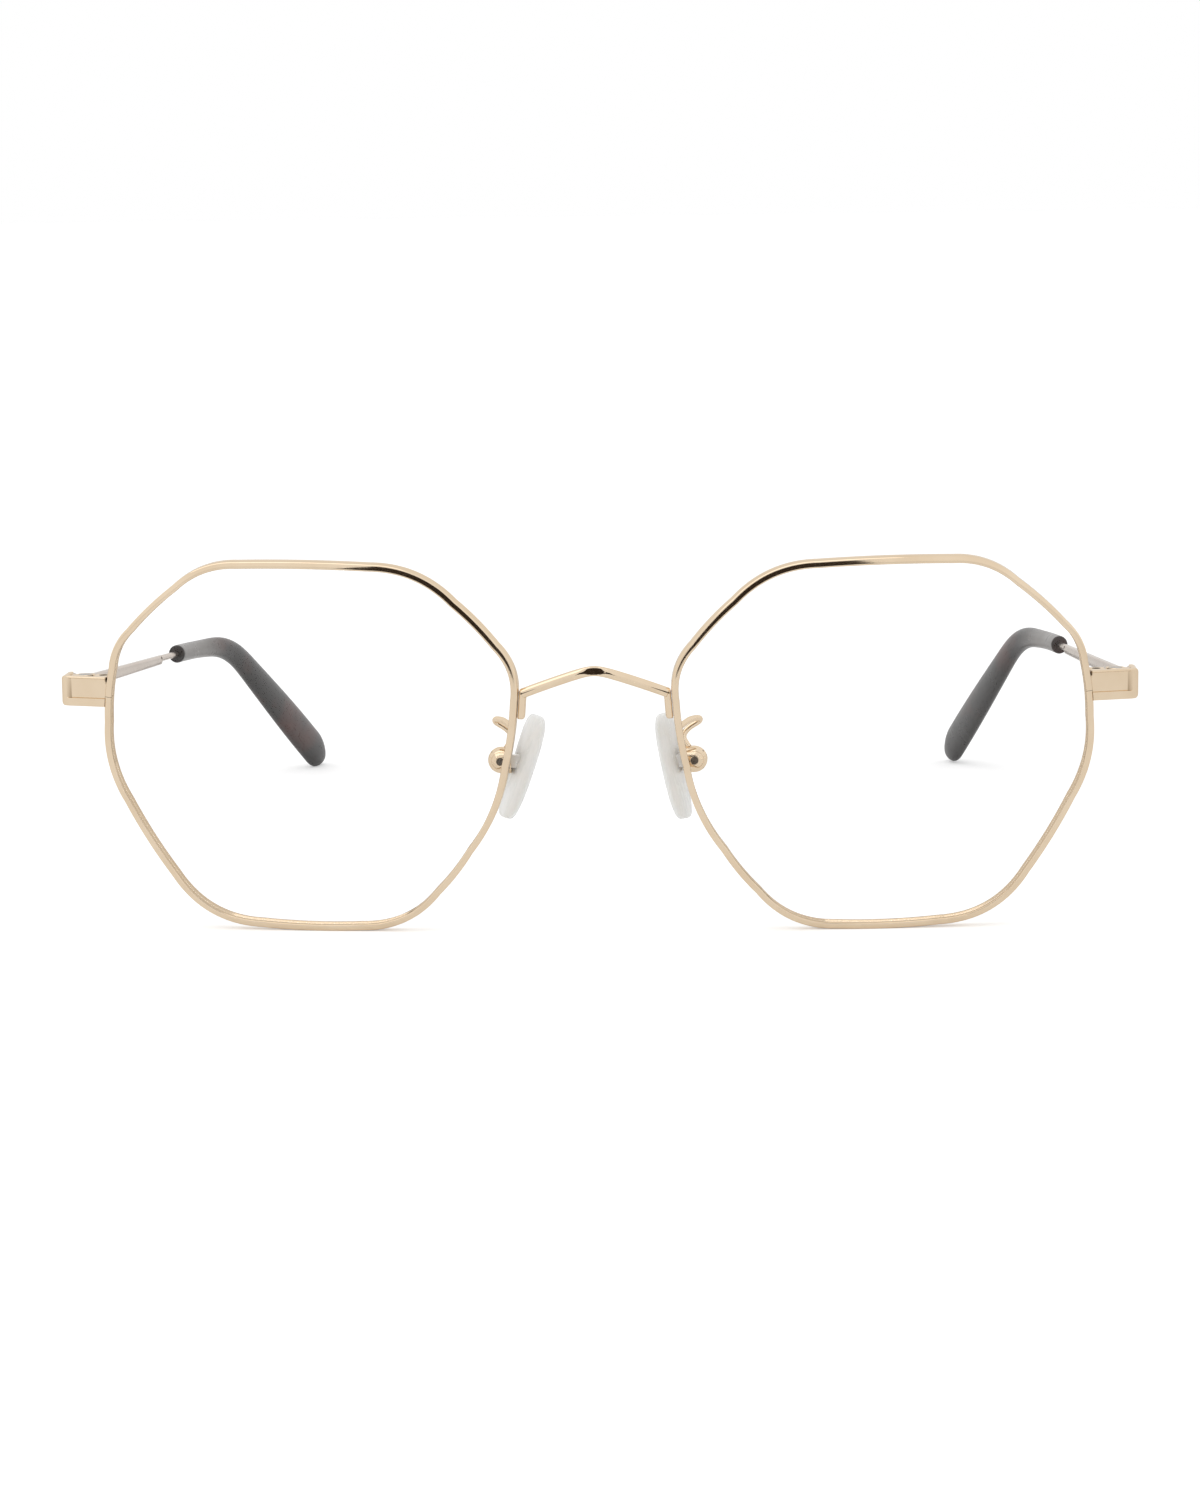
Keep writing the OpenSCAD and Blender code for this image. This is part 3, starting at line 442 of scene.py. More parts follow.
def rimSection():
    # a rectangle with rounded edges, a crowned front that falls off by a parabola, and a groove for the lens
    a, b, c, g = rims["wall"] / 2, rims["depth"] / 2, rims["edgeRound"], rims["grooveWidth"] / 2
    quarter = np.linspace(0, np.pi / 2, 6)
    corners = [(c - a, c - b, np.pi), (a - c, c - b, 1.5 * np.pi),
               (a - c, b - c, 0), (c - a, b - c, np.pi / 2)]
    arcs = [np.stack([x + c * np.cos(quarter + turn), y + c * np.sin(quarter + turn)], -1)
            for x, y, turn in corners]
    face = np.linspace(c - a, a - c, 11)[1:-1]
    deep, flat = rims["grooveDepth"] - a, rims["grooveFloor"] / 2
    groove = np.array([[-a, g], [deep, flat], [deep, -flat], [-a, -g]])
    ring = np.vstack([arcs[0], np.stack([face, 0 * face - b], -1), *arcs[1:], groove])
    crowned = ring[:, 1] < -g
    ring[:, 1] += np.where(crowned, ring[:, 0] ** 2 / (2 * rims["faceRadius"]), 0)
    return ring


splitPlace = sideHeight(outerSide, rims["endpieceUp"] - rims["splitBelow"])
alongSide = np.concatenate([np.linspace(0, sideShare, 14, endpoint=False),
                            np.linspace(sideShare, 1, 20, endpoint=False)])
allPlaces = (outerSide + np.arange(10)[:, None] + alongSide).ravel()
rimPlaces = allPlaces[(allPlaces > splitPlace + 0.01) & (allPlaces < splitPlace + 7.99)]
rimPlaces = np.concatenate([[splitPlace + rims["splitGap"]], rimPlaces, [splitPlace + 8 - rims["splitGap"]]])
section = rimSection()
rimRings = rimPoint(rimPlaces[:, None], section[None, :, 0], section[None, :, 1])
# painted shade on the rim's inner side and in its groove, at the strength insideShade
inside = section[:, 0] < rims["insideReach"] - rims["wall"] / 2
rimShade = np.concatenate([np.tile(inside * rims["insideShade"], len(rimPlaces)), [0, 0]])
for word, side in sides.items():
    makePiece("rim" + word.capitalize(), [tubeShell(rimRings)], gold, "front",
              ["rim_" + word], side, shade=rimShade)
print("rims are bent")


# Lenses

lenses = {
    "thickness": 1.5,
    "clearance": 0.05,    # between a lens and its groove
    "inset": 0.05,    # how much further in the flat of the edge lies
    "ridge": 0.08,    # width of the bevel's top
    "rings": 24,    # on each face
}


def lensShell():
    # rings that grow from the middle of the front, turn over a bevelled edge and shrink again on the back
    around = (np.arange(8)[:, None] + alongSide).ravel()
    edge = -rims["wall"] / 2 - lenses["clearance"] - lenses["inset"]
    apex = rims["grooveDepth"] - rims["wall"] / 2 - lenses["clearance"]
    half, ridge = lenses["thickness"] / 2, lenses["ridge"] / 2
    bevel = rims["grooveWidth"] / 2 - lenses["clearance"]
    share = np.linspace(1 / (lenses["rings"] + 1), 1, lenses["rings"])
    front = np.stack([share, np.full(lenses["rings"], edge), np.full(lenses["rings"], -half)], -1)
    rim = np.array([[1, edge, -bevel], [1, apex, -ridge], [1, apex, ridge], [1, edge, bevel]])
    loops = np.vstack([front, rim, front[::-1] * [1, 1, -1]])
    p = (eyeOutline(around) + eyeOutward(around) * loops[:, None, 1:2]) * loops[:, None, 0:1]
    rings = eyePoint(p[..., 0], p[..., 1], loops[:, None, 2])
    return tubeShell(rings, eyePoint(0.0, 0.0, -half), eyePoint(0.0, 0.0, half))


for word, side in sides.items():
    makePiece("lens" + word.capitalize(), [lensShell()], lensClear, "front",
              ["lens_" + word], side, 12)
print("lenses are ground")


# Bridge

bridge = {
    "wire": 1.3,
    "slope": 0.375,
    "peakRadius": 1.6,
    "forward": 1.0,
    "endsUp": 6.9,
    "footHeight": 3.4,
    "footWidth": 0.95,
    "footDepth": 1.3,
    "pressedFlat": 0.42,    # how far the flat at the peak's front stands out from the wire's middle
    "pressedTilt": 0.1,    # how much that flat looks up
    "pressedReach": 1.5,
    "pressedShare": 0.94,    # share of the wire in front of that flat that is pushed back to it
    "footRound": 0.35,    # length of the foot's rounded ends
    "footEndShare": 0.35,    # size of its section at the very ends
    "footForward": 0.15,    # how far it reaches in front of the rim wire's middle
    "footEdgeCut": 0.16,    # share of a side that its rounded edges take
    "footShrinkTo": (0.35, 0.5),    # the place in its section, across and in depth, that the ends shrink to
}
bridgeEnd = rimPoint(sideHeight(nasalSide, bridge["endsUp"]), rims["wall"] / 2, 0.0)
bridgeEndX = bridgeEnd[0] - bridge["footWidth"] / 2


def bridgeDrop(x):    # a hyperbola: straight arms that meet in a rounded peak
    return bridge["slope"] * (np.sqrt(x * x + bridge["peakRadius"] ** 2) - bridge["peakRadius"])


def bridgePath(x):    # drops by the hyperbola, and arches forwards by a squared cosine
    y = bridgeEnd[1] - bridge["forward"] * np.cos(np.pi / 2 * x / bridgeEndX) ** 2
    return np.stack([x, y, bridgeEnd[2] + bridgeDrop(bridgeEndX) - bridgeDrop(x)], -1)


def bridgeShell():
    # a round section carried along the path, pressed back to a flat near the peak by a falling exponential
    x = np.linspace(-bridgeEndX, bridgeEndX, 97)
    f = unitRows(bridgePath(x + 0.01) - bridgePath(x - 0.01))
    sideways = unitRows(np.cross(f, [0, 0, 1]))
    over = np.cross(sideways, f)
    ring = ovalRing(bridge["wire"] / 2, bridge["wire"] / 2, 40)
    pressed = bridge["pressedShare"] * np.exp(-(x / bridge["pressedReach"]) ** 4)[:, None, None]
    flat = bridge["pressedFlat"] - bridge["pressedTilt"] * ring[None, :, 1:]
    forward = ring[None, :, :1] - pressed * np.maximum(ring[None, :, :1] - flat, 0)
    return tubeShell(alongPath(bridgePath(x), sideways, over, forward, ring[None, :, 1:]))


def footShell():
    # a flat bar that lies along the rim, its section a rounded oblong that shrinks at both rounded ends
    top = bridge["endsUp"] + bridge["wire"] / 4
    t = (1 - np.cos(np.pi * np.linspace(0.02, 0.98, 29))) / 2
    v = top - bridge["footHeight"] * (1 - t)
    fromEnd = np.minimum(v - (top - bridge["footHeight"]), top - v)
    shrink = np.sqrt(np.clip(1 - (1 - fromEnd / bridge["footRound"]) ** 2, 0, 1))
    shrink = np.where(fromEnd > bridge["footRound"], 1, shrink)
    inner = rims["wall"] / 2 + braze
    block = np.array([[0, 0], [1, 0], [1, 1], [0, 1.0]])
    ring = cutCorners(cutCorners(cutCorners(block, bridge["footEdgeCut"]), 0.25), 0.25)
    middle = np.array(bridge["footShrinkTo"])
    ring = middle + (ring - middle) * between(bridge["footEndShare"], 1, shrink)[:, None, None]
    r = inner + ring[..., 0] * bridge["footWidth"]
    d = ring[..., 1] * bridge["footDepth"] - bridge["footForward"]
    return tubeShell(rimPoint(sideHeight(nasalSide, v)[:, None], r, d))


leftFoot = footShell()
rightFoot = (leftFoot[0] * [-1, 1, 1], leftFoot[1][:, ::-1], leftFoot[2][:, ::-1])
makePiece("bridge", [bridgeShell(), leftFoot, rightFoot], gold, "front", ["bridge"])
print("bridge is set")


# Endpieces

endpieces = {
    "width": 6.25,
    "height": 3.9,
    "thickness": 1.15,
    "turn": 17.0,
    "cornerRadius": 0.55,
    "edgeRound": 0.15,
    "bend": 1.3,    # length that the outer bend takes off the plaque and off the arm
    "panelDepth": 0.3,
    "panelEndBorder": 0.85,
    "panelTopBorder": 0.25,
    "panelLowBorder": 1.1,
    "panelWall": 0.06,    # height over which the panel's low and top edges drop
    "panelTopShare": 0.5,    # depth at the top, as a share of the depth at the bottom
    "scoopLength": 0.75,
    "scoopShade": (0.95, 0.35),    # painted shade at the bottom of the scoop and at its top
    "notchWidth": 0.13,    # the small gap left beside the rim at the top
    "notchHeight": 0.6,
    "notchEase": 0.12,
    "innerBend": 0.3,    # how far behind the inner corner the arm begins
    "armThickness": 0.95,
    "armEnd": 9.8098,    # where the arm stops, in front of the temple's head
}
endpieceZ = eyes["middleUp"] + rims["endpieceUp"]
plaqueRoot = rimPoint(sideHeight(outerSide, rims["endpieceUp"]), rims["wall"] / 2, -rims["depth"] / 2)
armX = plaqueRoot[0] + endpieces["width"]
rise = math.tan(math.radians(endpieces["turn"]))
turnCosine = math.cos(math.radians(endpieces["turn"]))
plaqueBack = endpieces["thickness"] / turnCosine


def besideRim(z, d):    # the rim's outer side at height z and depth d, less a hair for the solder
    v = (z - eyes["middleUp"]) / upward[2]
    for _ in range(3):
        p = rimPoint(sideHeight(outerSide, v), rims["wall"] / 2 - braze, d)
        v = v + (z - p[..., 2]) / upward[2]
    return p[..., 0]


def endpieceSection():
    # points round a section: first the share of the thickness from front to back, then the height
    h, e, t = endpieces["height"] / 2, endpieces["edgeRound"], plaqueBack
    low, high = endpieces["panelLowBorder"] - h, h - endpieces["panelTopBorder"]
    quarter = np.linspace(0, np.pi / 2, 5)[1:-1]
    # the rows lie close together at the panel's two walls
    atLow, atHigh = low + np.array([-0.03, 0.0, 0.03, 0.06]), high + np.array([-0.06, -0.03, 0, 0.03, 0.07])
    frontZ = np.concatenate([np.linspace(e - h, low - 0.07, 7), atLow,
                             np.linspace(low + 0.12, high - 0.12, 16), atHigh, [h - e]])
    acrossT = np.linspace(e / t, 1 - e / t, 9)
    front = np.stack([0 * frontZ, frontZ], -1)
    top = np.stack([acrossT, np.full(9, h)], -1)
    back = np.stack([np.ones(5), np.linspace(h - e, e - h, 5)], -1)
    under = np.stack([acrossT[::-1], np.full(9, -h)], -1)
    c, s = np.cos(quarter), np.sin(quarter)
    frontTop = np.stack([(1 - c) * e / t, h - e + e * s], -1)
    topBack = np.stack([1 - (1 - s) * e / t, h - e + e * c], -1)
    return np.vstack([front, frontTop, top, topBack, back,
                      topBack[::-1] * [1, -1], under, frontTop[::-1] * [1, -1]])


def endpieceShell():
    # the section carried along the plaque, round the bend and back along the arm; the front sinks
    # into the panel, and a painted shade darkens the panel's scoop and the notch beside the rim
    s = endpieceSection()
    a, z = s[:, 0], s[:, 1]
    h, bend, r = endpieces["height"] / 2, endpieces["bend"], endpieces["cornerRadius"]
    endY = plaqueRoot[1] + endpieces["width"] * rise
    bendX = armX - bend
    # plaque
    t = np.concatenate([np.linspace(0, 0.8, 18, endpoint=False), np.linspace(0.8, 1, 12, endpoint=False)])
    startX = besideRim(endpieceZ + z, a * endpieces["thickness"] - rims["depth"] / 2)
    notched = ease((z - h + endpieces["notchHeight"]) / endpieces["notchEase"])
    startX = startX + (endpieces["notchWidth"] + 2 * braze) * notched
    xPlaque = between(startX, bendX, t[:, None])
    yPlaque = plaqueRoot[1] + (xPlaque - plaqueRoot[0]) * rise + a * plaqueBack
    # bend: the outside and the inside are parabolas
    t = np.linspace(0, 1, 25)[:, None]
    outX, outY = armX - bend * (1 - t) ** 2, endY - bend * rise * (1 - t) ** 2 + bend * t * t
    innerX = armX - endpieces["armThickness"]
    cornerY = endY - endpieces["armThickness"] * rise + plaqueBack
    fromY = endY - bend * rise + plaqueBack
    inX = bendX * (1 - t) ** 2 + innerX * (1 - (1 - t) ** 2)
    inY = fromY * (1 - t) ** 2 + cornerY * 2 * t * (1 - t) + (cornerY + endpieces["innerBend"]) * t * t
    xBend, yBend = between(outX, inX, a), between(outY, inY, a)
    # arm
    t = np.linspace(0, 1, 12)[1:, None]
    xArm = between(armX, innerX, a) + 0 * t
    yArm = between(between(endY + bend, cornerY + endpieces["innerBend"], a), endpieces["armEnd"], t)
    x, y = np.vstack([xPlaque, xBend, xArm]), np.vstack([yPlaque, yBend, yArm])
    zz = np.broadcast_to(z, x.shape)
    # panel: a flat sunk floor that slopes up to the top, with a scoop at its outer end
    along = (x - plaqueRoot[0]) / turnCosine
    end = endpieces["width"] / turnCosine - endpieces["panelEndBorder"]
    low, high = endpieces["panelLowBorder"] - h, h - endpieces["panelTopBorder"]
    height = (zz - low) / (high - low)
    floorDepth = endpieces["panelDepth"] * between(1.0, endpieces["panelTopShare"], np.clip(height, 0, 1))
    wall = endpieces["panelWall"]
    walls = ease((zz - low + wall / 2) / wall) * ease((high - zz + wall / 2) / wall)
    scoop = np.clip((end - along) / endpieces["scoopLength"], 0, 1)
    planeY = plaqueRoot[1] + (x - plaqueRoot[0]) * rise
    sunk = planeY + floorDepth * walls * scoop / turnCosine
    lastRow = len(xPlaque) + 14    # the panel's floor is looked for part of the way round the bend too
    isFront = (a < 1e-6) & (np.arange(len(x))[:, None] < lastRow)
    y = np.where(isFront, np.maximum(y, sunk), y)
    # outer corners rounded, seen from the front
    over = np.clip(x - (armX - r), 0, r)
    zz = zz * (h - r + np.sqrt(r * r - over * over)) / h
    rings = np.stack([x, y, endpieceZ + zz], -1)
    height = (zz - low) / (high - low)
    # painted shade, darker at the bottom of the scoop, and full in the notch beside the rim
    shade = np.where(isFront & (scoop < 0.999), walls * scoop * between(*endpieces["scoopShade"], height), 0)
    shade[0] = z > h - endpieces["notchHeight"]
    return tubeShell(rings), np.concatenate([shade.ravel(), [1, 0]])


endpieceSkin, endpieceShade = endpieceShell()
for word, side in sides.items():
    makePiece("endpiece" + word.capitalize(), [endpieceSkin], gold, "front",
              ["endpiece_" + word], side, 28, endpieceShade)
print("endpieces are pressed")


# Temples and their tips

temples = {
    "length": 145.0,
    "bendAt": 92.0,
    "bendLength": 18.0,
    "bendDown": {"left": 29.4, "right": 28.5},    # the two temples are bent a little differently by hand
    "bendIn": {"left": 14.6, "right": 15.8},
    "turnInLength": 30.0,
    "turnInLead": 18.0,
    "toe": {"left": 2.8, "right": 2.2},
    "slope": {"left": 3.9, "right": 4.2475},
    "barHeight": 1.8,
    "barEndHeight": 1.35,    # at the step
    "barThickness": 0.95,
    "barBevel": 0.2,
    "headLength": 7.0,
    "headInset": 0.1,    # how much less high than the endpiece the head is, at the top and below
    "headGap": 0.15,    # between the head and the endpiece's arm
    "stepAt": {"left": 66.0, "right": 61.0},
    "stepRound": 0.9,    # length over which the bar's low edge rises at the step
    "stepTop": -0.25,    # where that edge ends, from the wire's middle
    "coreWire": 0.95,
    "hingeToHead": 1.325,    # from the hinge axis back to the head's front end
}
tips = {
    "at": 73.0,
    "height": 2.7,
    "thickness": 2.5,
    "paddleWidth": 6.0,
    "paddleThickness": 2.7,
    "widensAt": 84.0,
    "widestAt": 137.0,
    "mouthSize": 0.86,    # size of the front face, as a share of the sleeve
    "mouthRound": 0.5,
    # painted sheen: where it ends, how long it fades, and how far behind the mouth it begins
    "paintedSheenUntil": 100.0,
    "paintedSheenFade": 14.0,
    "paintedSheenStart": 1.2,    # from the mouth
    "cover": 6.0,    # what the tip covers behind the core wire's end
    "boreSpare": 0.3,
    "endRound": 4.6,
    "coreFit": 0.03,
}
wireStart = np.array([armX - temples["barThickness"] / 2, endpieces["armEnd"] + temples["headGap"],
                      endpieceZ + (temples["barHeight"] - temples["coreWire"]) / 2])


def wireHeading(word, s, sloping=1.0):
    # down by the slope and the ear bend, inwards by the toe and the turn, both eased along the length
    bent = ease((s - temples["bendAt"]) / temples["bendLength"])
    down = np.radians(temples["slope"][word] * sloping + temples["bendDown"][word] * bent)
    turned = ease((s - temples["bendAt"] + temples["turnInLead"]) / temples["turnInLength"])
    inward = np.radians(between(temples["toe"][word], temples["bendIn"][word], turned))
    return np.stack([-np.sin(inward) * np.cos(down), np.cos(inward) * np.cos(down), -np.sin(down)], -1)


wireStep = 0.25
wireLengths = np.arange(temples["hingeToHead"], temples["length"] + 1, wireStep)
wirePlaces = {}
for word in sides:    # the headings added up, step by step
    steps = np.cumsum(wireHeading(word, wireLengths[:-1] + wireStep / 2), 0) * wireStep
    wirePlaces[word] = wireStart + np.vstack([np.zeros(3), steps])


def wireRings(word, s, ring, sloping=1.0):
    # the ring at each length s, its first number sideways and its second upwards, square to the wire
    p = np.stack([np.interp(s, wireLengths, wirePlaces[word][:, k]) for k in range(3)], -1)
    f = wireHeading(word, s, sloping)
    sideways = unitRows(np.cross(f, [0, 0, 1]))
    over = np.cross(sideways, f)
    return alongPath(p, sideways, over, ring[..., :1], ring[..., 1:])


def barRing(top, low, thickness):    # flat outer face, ridged inner face, and small bevels
    h = thickness / 2
    b = min(temples["barBevel"], thickness / 4)
    outer = [[h - b, low], [h, low + b], [h, top - b], [h - b, top]]
    inner = [[b - h, top], [-h, (top + low) / 2], [b - h, low]]
    return cutCorners(cutCorners(np.array(outer + inner), 0.14), 0.25)


def templeShells(word):
    # the bar's section, eased from the tall head to the bar, thinned evenly to the step, where its low
    # edge rises by a quarter circle; and a round core wire from there to its end in the tip
    core, bar, thickness = temples["coreWire"], temples["barHeight"], temples["barThickness"]
    step, rounding = temples["stepAt"][word], temples["stepRound"]
    low, middle, tall = core / 2 - bar, core / 2 - bar / 2, endpieces["height"] / 2 - temples["headInset"]
    t = np.linspace(0, 1, 33)
    head = np.array([barRing(between(middle + tall, core / 2, w), between(middle - tall, low, w), thickness)
                     for w in ease(t)])
    headRings = wireRings(word, temples["hingeToHead"] + temples["headLength"] * t, head, ease(2 * t))
    start = temples["hingeToHead"] + temples["headLength"]
    beforeStep = np.array([0.9, 0.6, 0.35, 0.18, 0.06, 0])    # rows that follow the rise
    s = np.concatenate([np.linspace(start + 1, step - 1.2, 24), step - beforeStep])
    lift = 1 - np.sqrt(np.clip(1 - ((s - step + rounding) / rounding).clip(0, 1) ** 2, 0, 1))
    fallen = between(low, core / 2 - temples["barEndHeight"], (s - start) / (step - start))
    lowEdge = between(fallen, temples["stepTop"], lift)
    barRings = wireRings(word, s, np.array([barRing(core / 2, v, thickness) for v in lowEdge]))
    bars = tubeShell(np.vstack([headRings, barRings]))
    s = np.linspace(step - 1, temples["length"] - tips["cover"], 160)
    wire = tubeShell(wireRings(word, s, ovalRing(core / 2, core / 2, 20) * np.ones((len(s), 1, 1))))
    return [bars, wire]


def tipShell(word):
    # from the bottom of the bore forwards to the mouth, over the front end, and back along a tube that
    # flattens; the shade is a painted sheen on the length behind the mouth, faded out by an ease
    count, boreRings = 40, 60
    length, at = temples["length"], tips["at"]
    bore = temples["coreWire"] / 2 + tips["coreFit"]
    boreS = np.linspace(length - tips["cover"] + tips["boreSpare"], at + 0.02, boreRings)
    ring = ovalRing(1, 1, count)
    inside = wireRings(word, boreS, ring * np.full((boreRings, 1, 1), bore))
    rounding = 1 - 0.1 * (1 - np.sin(np.linspace(0.05, 0.995, 24) * np.pi / 2))
    s = at + (length - at) * np.concatenate([[0], np.linspace(0.0015, 0.012, 5),
                                             np.linspace(0.03, 0.9, 70), rounding])
    x = np.clip((s - (length - tips["endRound"])) / tips["endRound"], 0, 1)
    closing = np.sqrt(1 - x * x)
    opening = np.sqrt(np.clip(1 - (1 - (s - at) / tips["mouthRound"]).clip(0, 1) ** 2, 0, 1))
    mouth = between(tips["mouthSize"], 1, opening)
    widened = ease((s - tips["widensAt"]) / (tips["widestAt"] - tips["widensAt"]))
    thickened = ease((s - temples["bendAt"]) / (length - temples["bendAt"]))
    width = between(tips["height"], tips["paddleWidth"], widened)
    thick = between(tips["thickness"], tips["paddleThickness"], thickened)
    half = np.stack([thick * np.sqrt(closing) * mouth / 2, width * closing * mouth / 2], -1)
    outside = wireRings(word, s, ring * half[:, None, :])
    end = wireRings(word, np.array([length]), np.zeros((1, 1, 2)))[0, 0]
    fade = tips["paintedSheenFade"]
    # painted sheen along the length behind the mouth
    paintedSheenShare = ease((s - at) / tips["paintedSheenStart"]) * (1 - ease((s - tips["paintedSheenUntil"] + fade) / fade))
    shade = np.concatenate([np.zeros(boreRings * count), np.repeat(paintedSheenShare, count), [0, 0]])
    return tubeShell(np.vstack([inside, outside]), inside[0].mean(0), end), shade


for word, side in sides.items():
    body = word + "_temple"
    makePiece("temple" + word.capitalize(), templeShells(word), palerGold, body,
              ["temple_" + word], side)
    tipSkin, tipShade = tipShell(word)
    makePiece("tip" + word.capitalize(), [tipSkin], tipDark, body,
              ["temple_tip_" + word], side, 50, tipShade)
print("temples are drawn and tipped")


# Nose pads and their arms

padArms = {
    "wire": 0.8,
    "rootUp": 2.3,
    "rootIn": 0.05,    # how far inside the wire's middle line the root lies
    "loopOut": 2.7,
    "loopBack": 5.6,
    # points round the loop, from the root: share of loopOut, more outwards, share of loopBack,
    # more backwards, and up
    "loop": [(0, 0.15, 0, 1.1, 0.05), (0.5, 0, 0.62, 0, 0.6), (1, -0.25, 0.92, 0, 0.55),
             (1, -0.2, 1, 0, 0.1), (0.5, 0, 1, 0, -0.65), (0, 0.65, 1, -0.15, -1.35)],
    "beforeBox": (0.5, 0.4, -2.1),    # outwards, share of the way back from the box to the loop, and up
    "inBox": (-0.75, 0, -0.15),    # the wire's end, from the top of the box
}
padBoxes = {
    "back": 4.9,
    "down": 4.8,
    "out": 1.9,
    "diameter": 3.5,
}
nosePads = {
    "length": 14.1,
    "width": 7.5,
    "thickness": 1.8,
    "bow": 0.2,
    "tilt": {"left": 11.5, "right": 18.5},    # each pad sits at its own small angle
    "splay": {"left": 16.0, "right": 21.0},
    "lean": 7.0,
    "inward": 2.75,
    "below": 0.9,
    "fullness": 3.5,    # 2 gives an oval, and more a longer straight middle
    "spread": 0.12,    # how much the pad widens from its low end to its top end
}
padRoot = rimPoint(sideHeight(nasalSide, padArms["rootUp"]), -padArms["rootIn"],
                   rims["depth"] / 2 + 2 * braze)
padScrew = padRoot + [padBoxes["out"], padBoxes["back"], -padBoxes["down"]]


def armPath():    # a curve through the points, each stretch shaped by its two neighbours
    out, back = padArms["loopOut"], padArms["loopBack"]
    top = padScrew + [0, 0, padBoxes["diameter"] / 2]
    loop = [padRoot + [out * a + b, back * c + d, up] for a, b, c, d, up in padArms["loop"]]
    outwards, share, up = padArms["beforeBox"]
    beforeBox = padRoot + [outwards, between(padBoxes["back"], back, share), up]
    p = np.array([padRoot, *loop, beforeBox, top + padArms["inBox"]])
    padded = np.vstack([p[:1], p, p[-1:]])
    a, b, c, d = (padded[k:k + len(p) - 1, None] for k in range(4))
    t = np.linspace(0, 1, 12, endpoint=False)[None, :, None]
    curve = 0.5 * (2 * b + (c - a) * t + (2 * a - 5 * b + 4 * c - d) * t * t
                   + (3 * b - a - 3 * c + d) * t ** 3)
    return np.vstack([curve.reshape(-1, 3), p[-1:]])


def armShell():
    # a round section carried along the path with no twist: each frame is the last one, turned square
    # to the path
    path = armPath()
    f = unitRows(np.gradient(path, axis=0))
    sideways = np.zeros_like(path)
    last = np.array([0, 0, 1.0])
    for i, direction in enumerate(f):
        last = unitRows(last - direction * (direction @ last))
        sideways[i] = last
    over = np.cross(f, sideways)
    ring = ovalRing(padArms["wire"] / 2, padArms["wire"] / 2, 20)
    return tubeShell(alongPath(path, sideways, over, ring[None, :, :1], ring[None, :, 1:]))


def turned(points, axis, degrees):    # points times the matrix of a turn about one axis
    c, s = math.cos(math.radians(degrees)), math.sin(math.radians(degrees))
    matrix = {"x": [[1, 0, 0], [0, c, -s], [0, s, c]],
              "y": [[c, 0, s], [0, 1, 0], [-s, 0, c]],
              "z": [[c, -s, 0], [s, c, 0], [0, 0, 1]]}[axis]
    return points @ np.array(matrix).T


def padShell(word):
    # a pillow: ovals sized by a superellipse from end to end, wider at the top and bowed by a parabola
    length, width, thickness = nosePads["length"], nosePads["width"], nosePads["thickness"]
    angle = np.linspace(0.012, np.pi - 0.012, 72)[:, None]
    power = 2 / nosePads["fullness"]
    z = -length / 2 * np.sign(np.cos(angle)) * np.abs(np.cos(angle)) ** power
    k = np.sin(angle) ** power
    ring = ovalRing(1, 1, 48)
    x = ring[:, 0] * thickness / 2 * np.sqrt(k) - nosePads["bow"] * (0.5 - (2 * z / length) ** 2)
    y = -ring[:, 1] * width / 2 * k * (1 + nosePads["spread"] * z / length)
    points = np.stack([x, y, z + 0 * x], -1)
    turns = {"z": -nosePads["splay"][word], "x": -nosePads["lean"], "y": -nosePads["tilt"][word]}
    for axis, degrees in turns.items():
        points = turned(points, axis, degrees)
    return tubeShell(points + padScrew + [-nosePads["inward"], 0, -nosePads["below"]])


for word, side in sides.items():
    cap = word.capitalize()
    makePiece("padArm" + cap, [armShell()], gold, "front", ["pad_arm_" + word], side)
    makePiece("nosePad" + cap, [padShell(word)], padClear, word + "_pad",
              ["nose_pad_" + word], side, 80)
print("nose pads are moulded")


# Small machined pieces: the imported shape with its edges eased

def easedCopy(name, node, material, body, width, nearest=0.0):
    # the node's own triangles merged, none nearer the middle than nearest, and bevelled by the width
    mesh = bpy.data.meshes.new(name)
    shape = bmesh.new()
    shape.from_mesh(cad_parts[node].data)
    bmesh.ops.remove_doubles(shape, verts=shape.verts, dist=1e-6)
    for v in shape.verts:
        v.co.x = math.copysign(max(abs(v.co.x), nearest * mm), v.co.x)
    bmesh.ops.dissolve_limit(shape, angle_limit=math.radians(1), verts=shape.verts, edges=shape.edges)
    shape.to_mesh(mesh)
    shape.free()
    piece = finishPiece(name, mesh, material, body, [node], smallPieces["sharpFrom"])
    bevel = piece.modifiers.new("easedEdges", "BEVEL")
    bevel.width = width * mm
    bevel.segments = 2
    bevel.limit_method = "ANGLE"
    bevel.angle_limit = math.radians(smallPieces["sharpFrom"])
    return piece


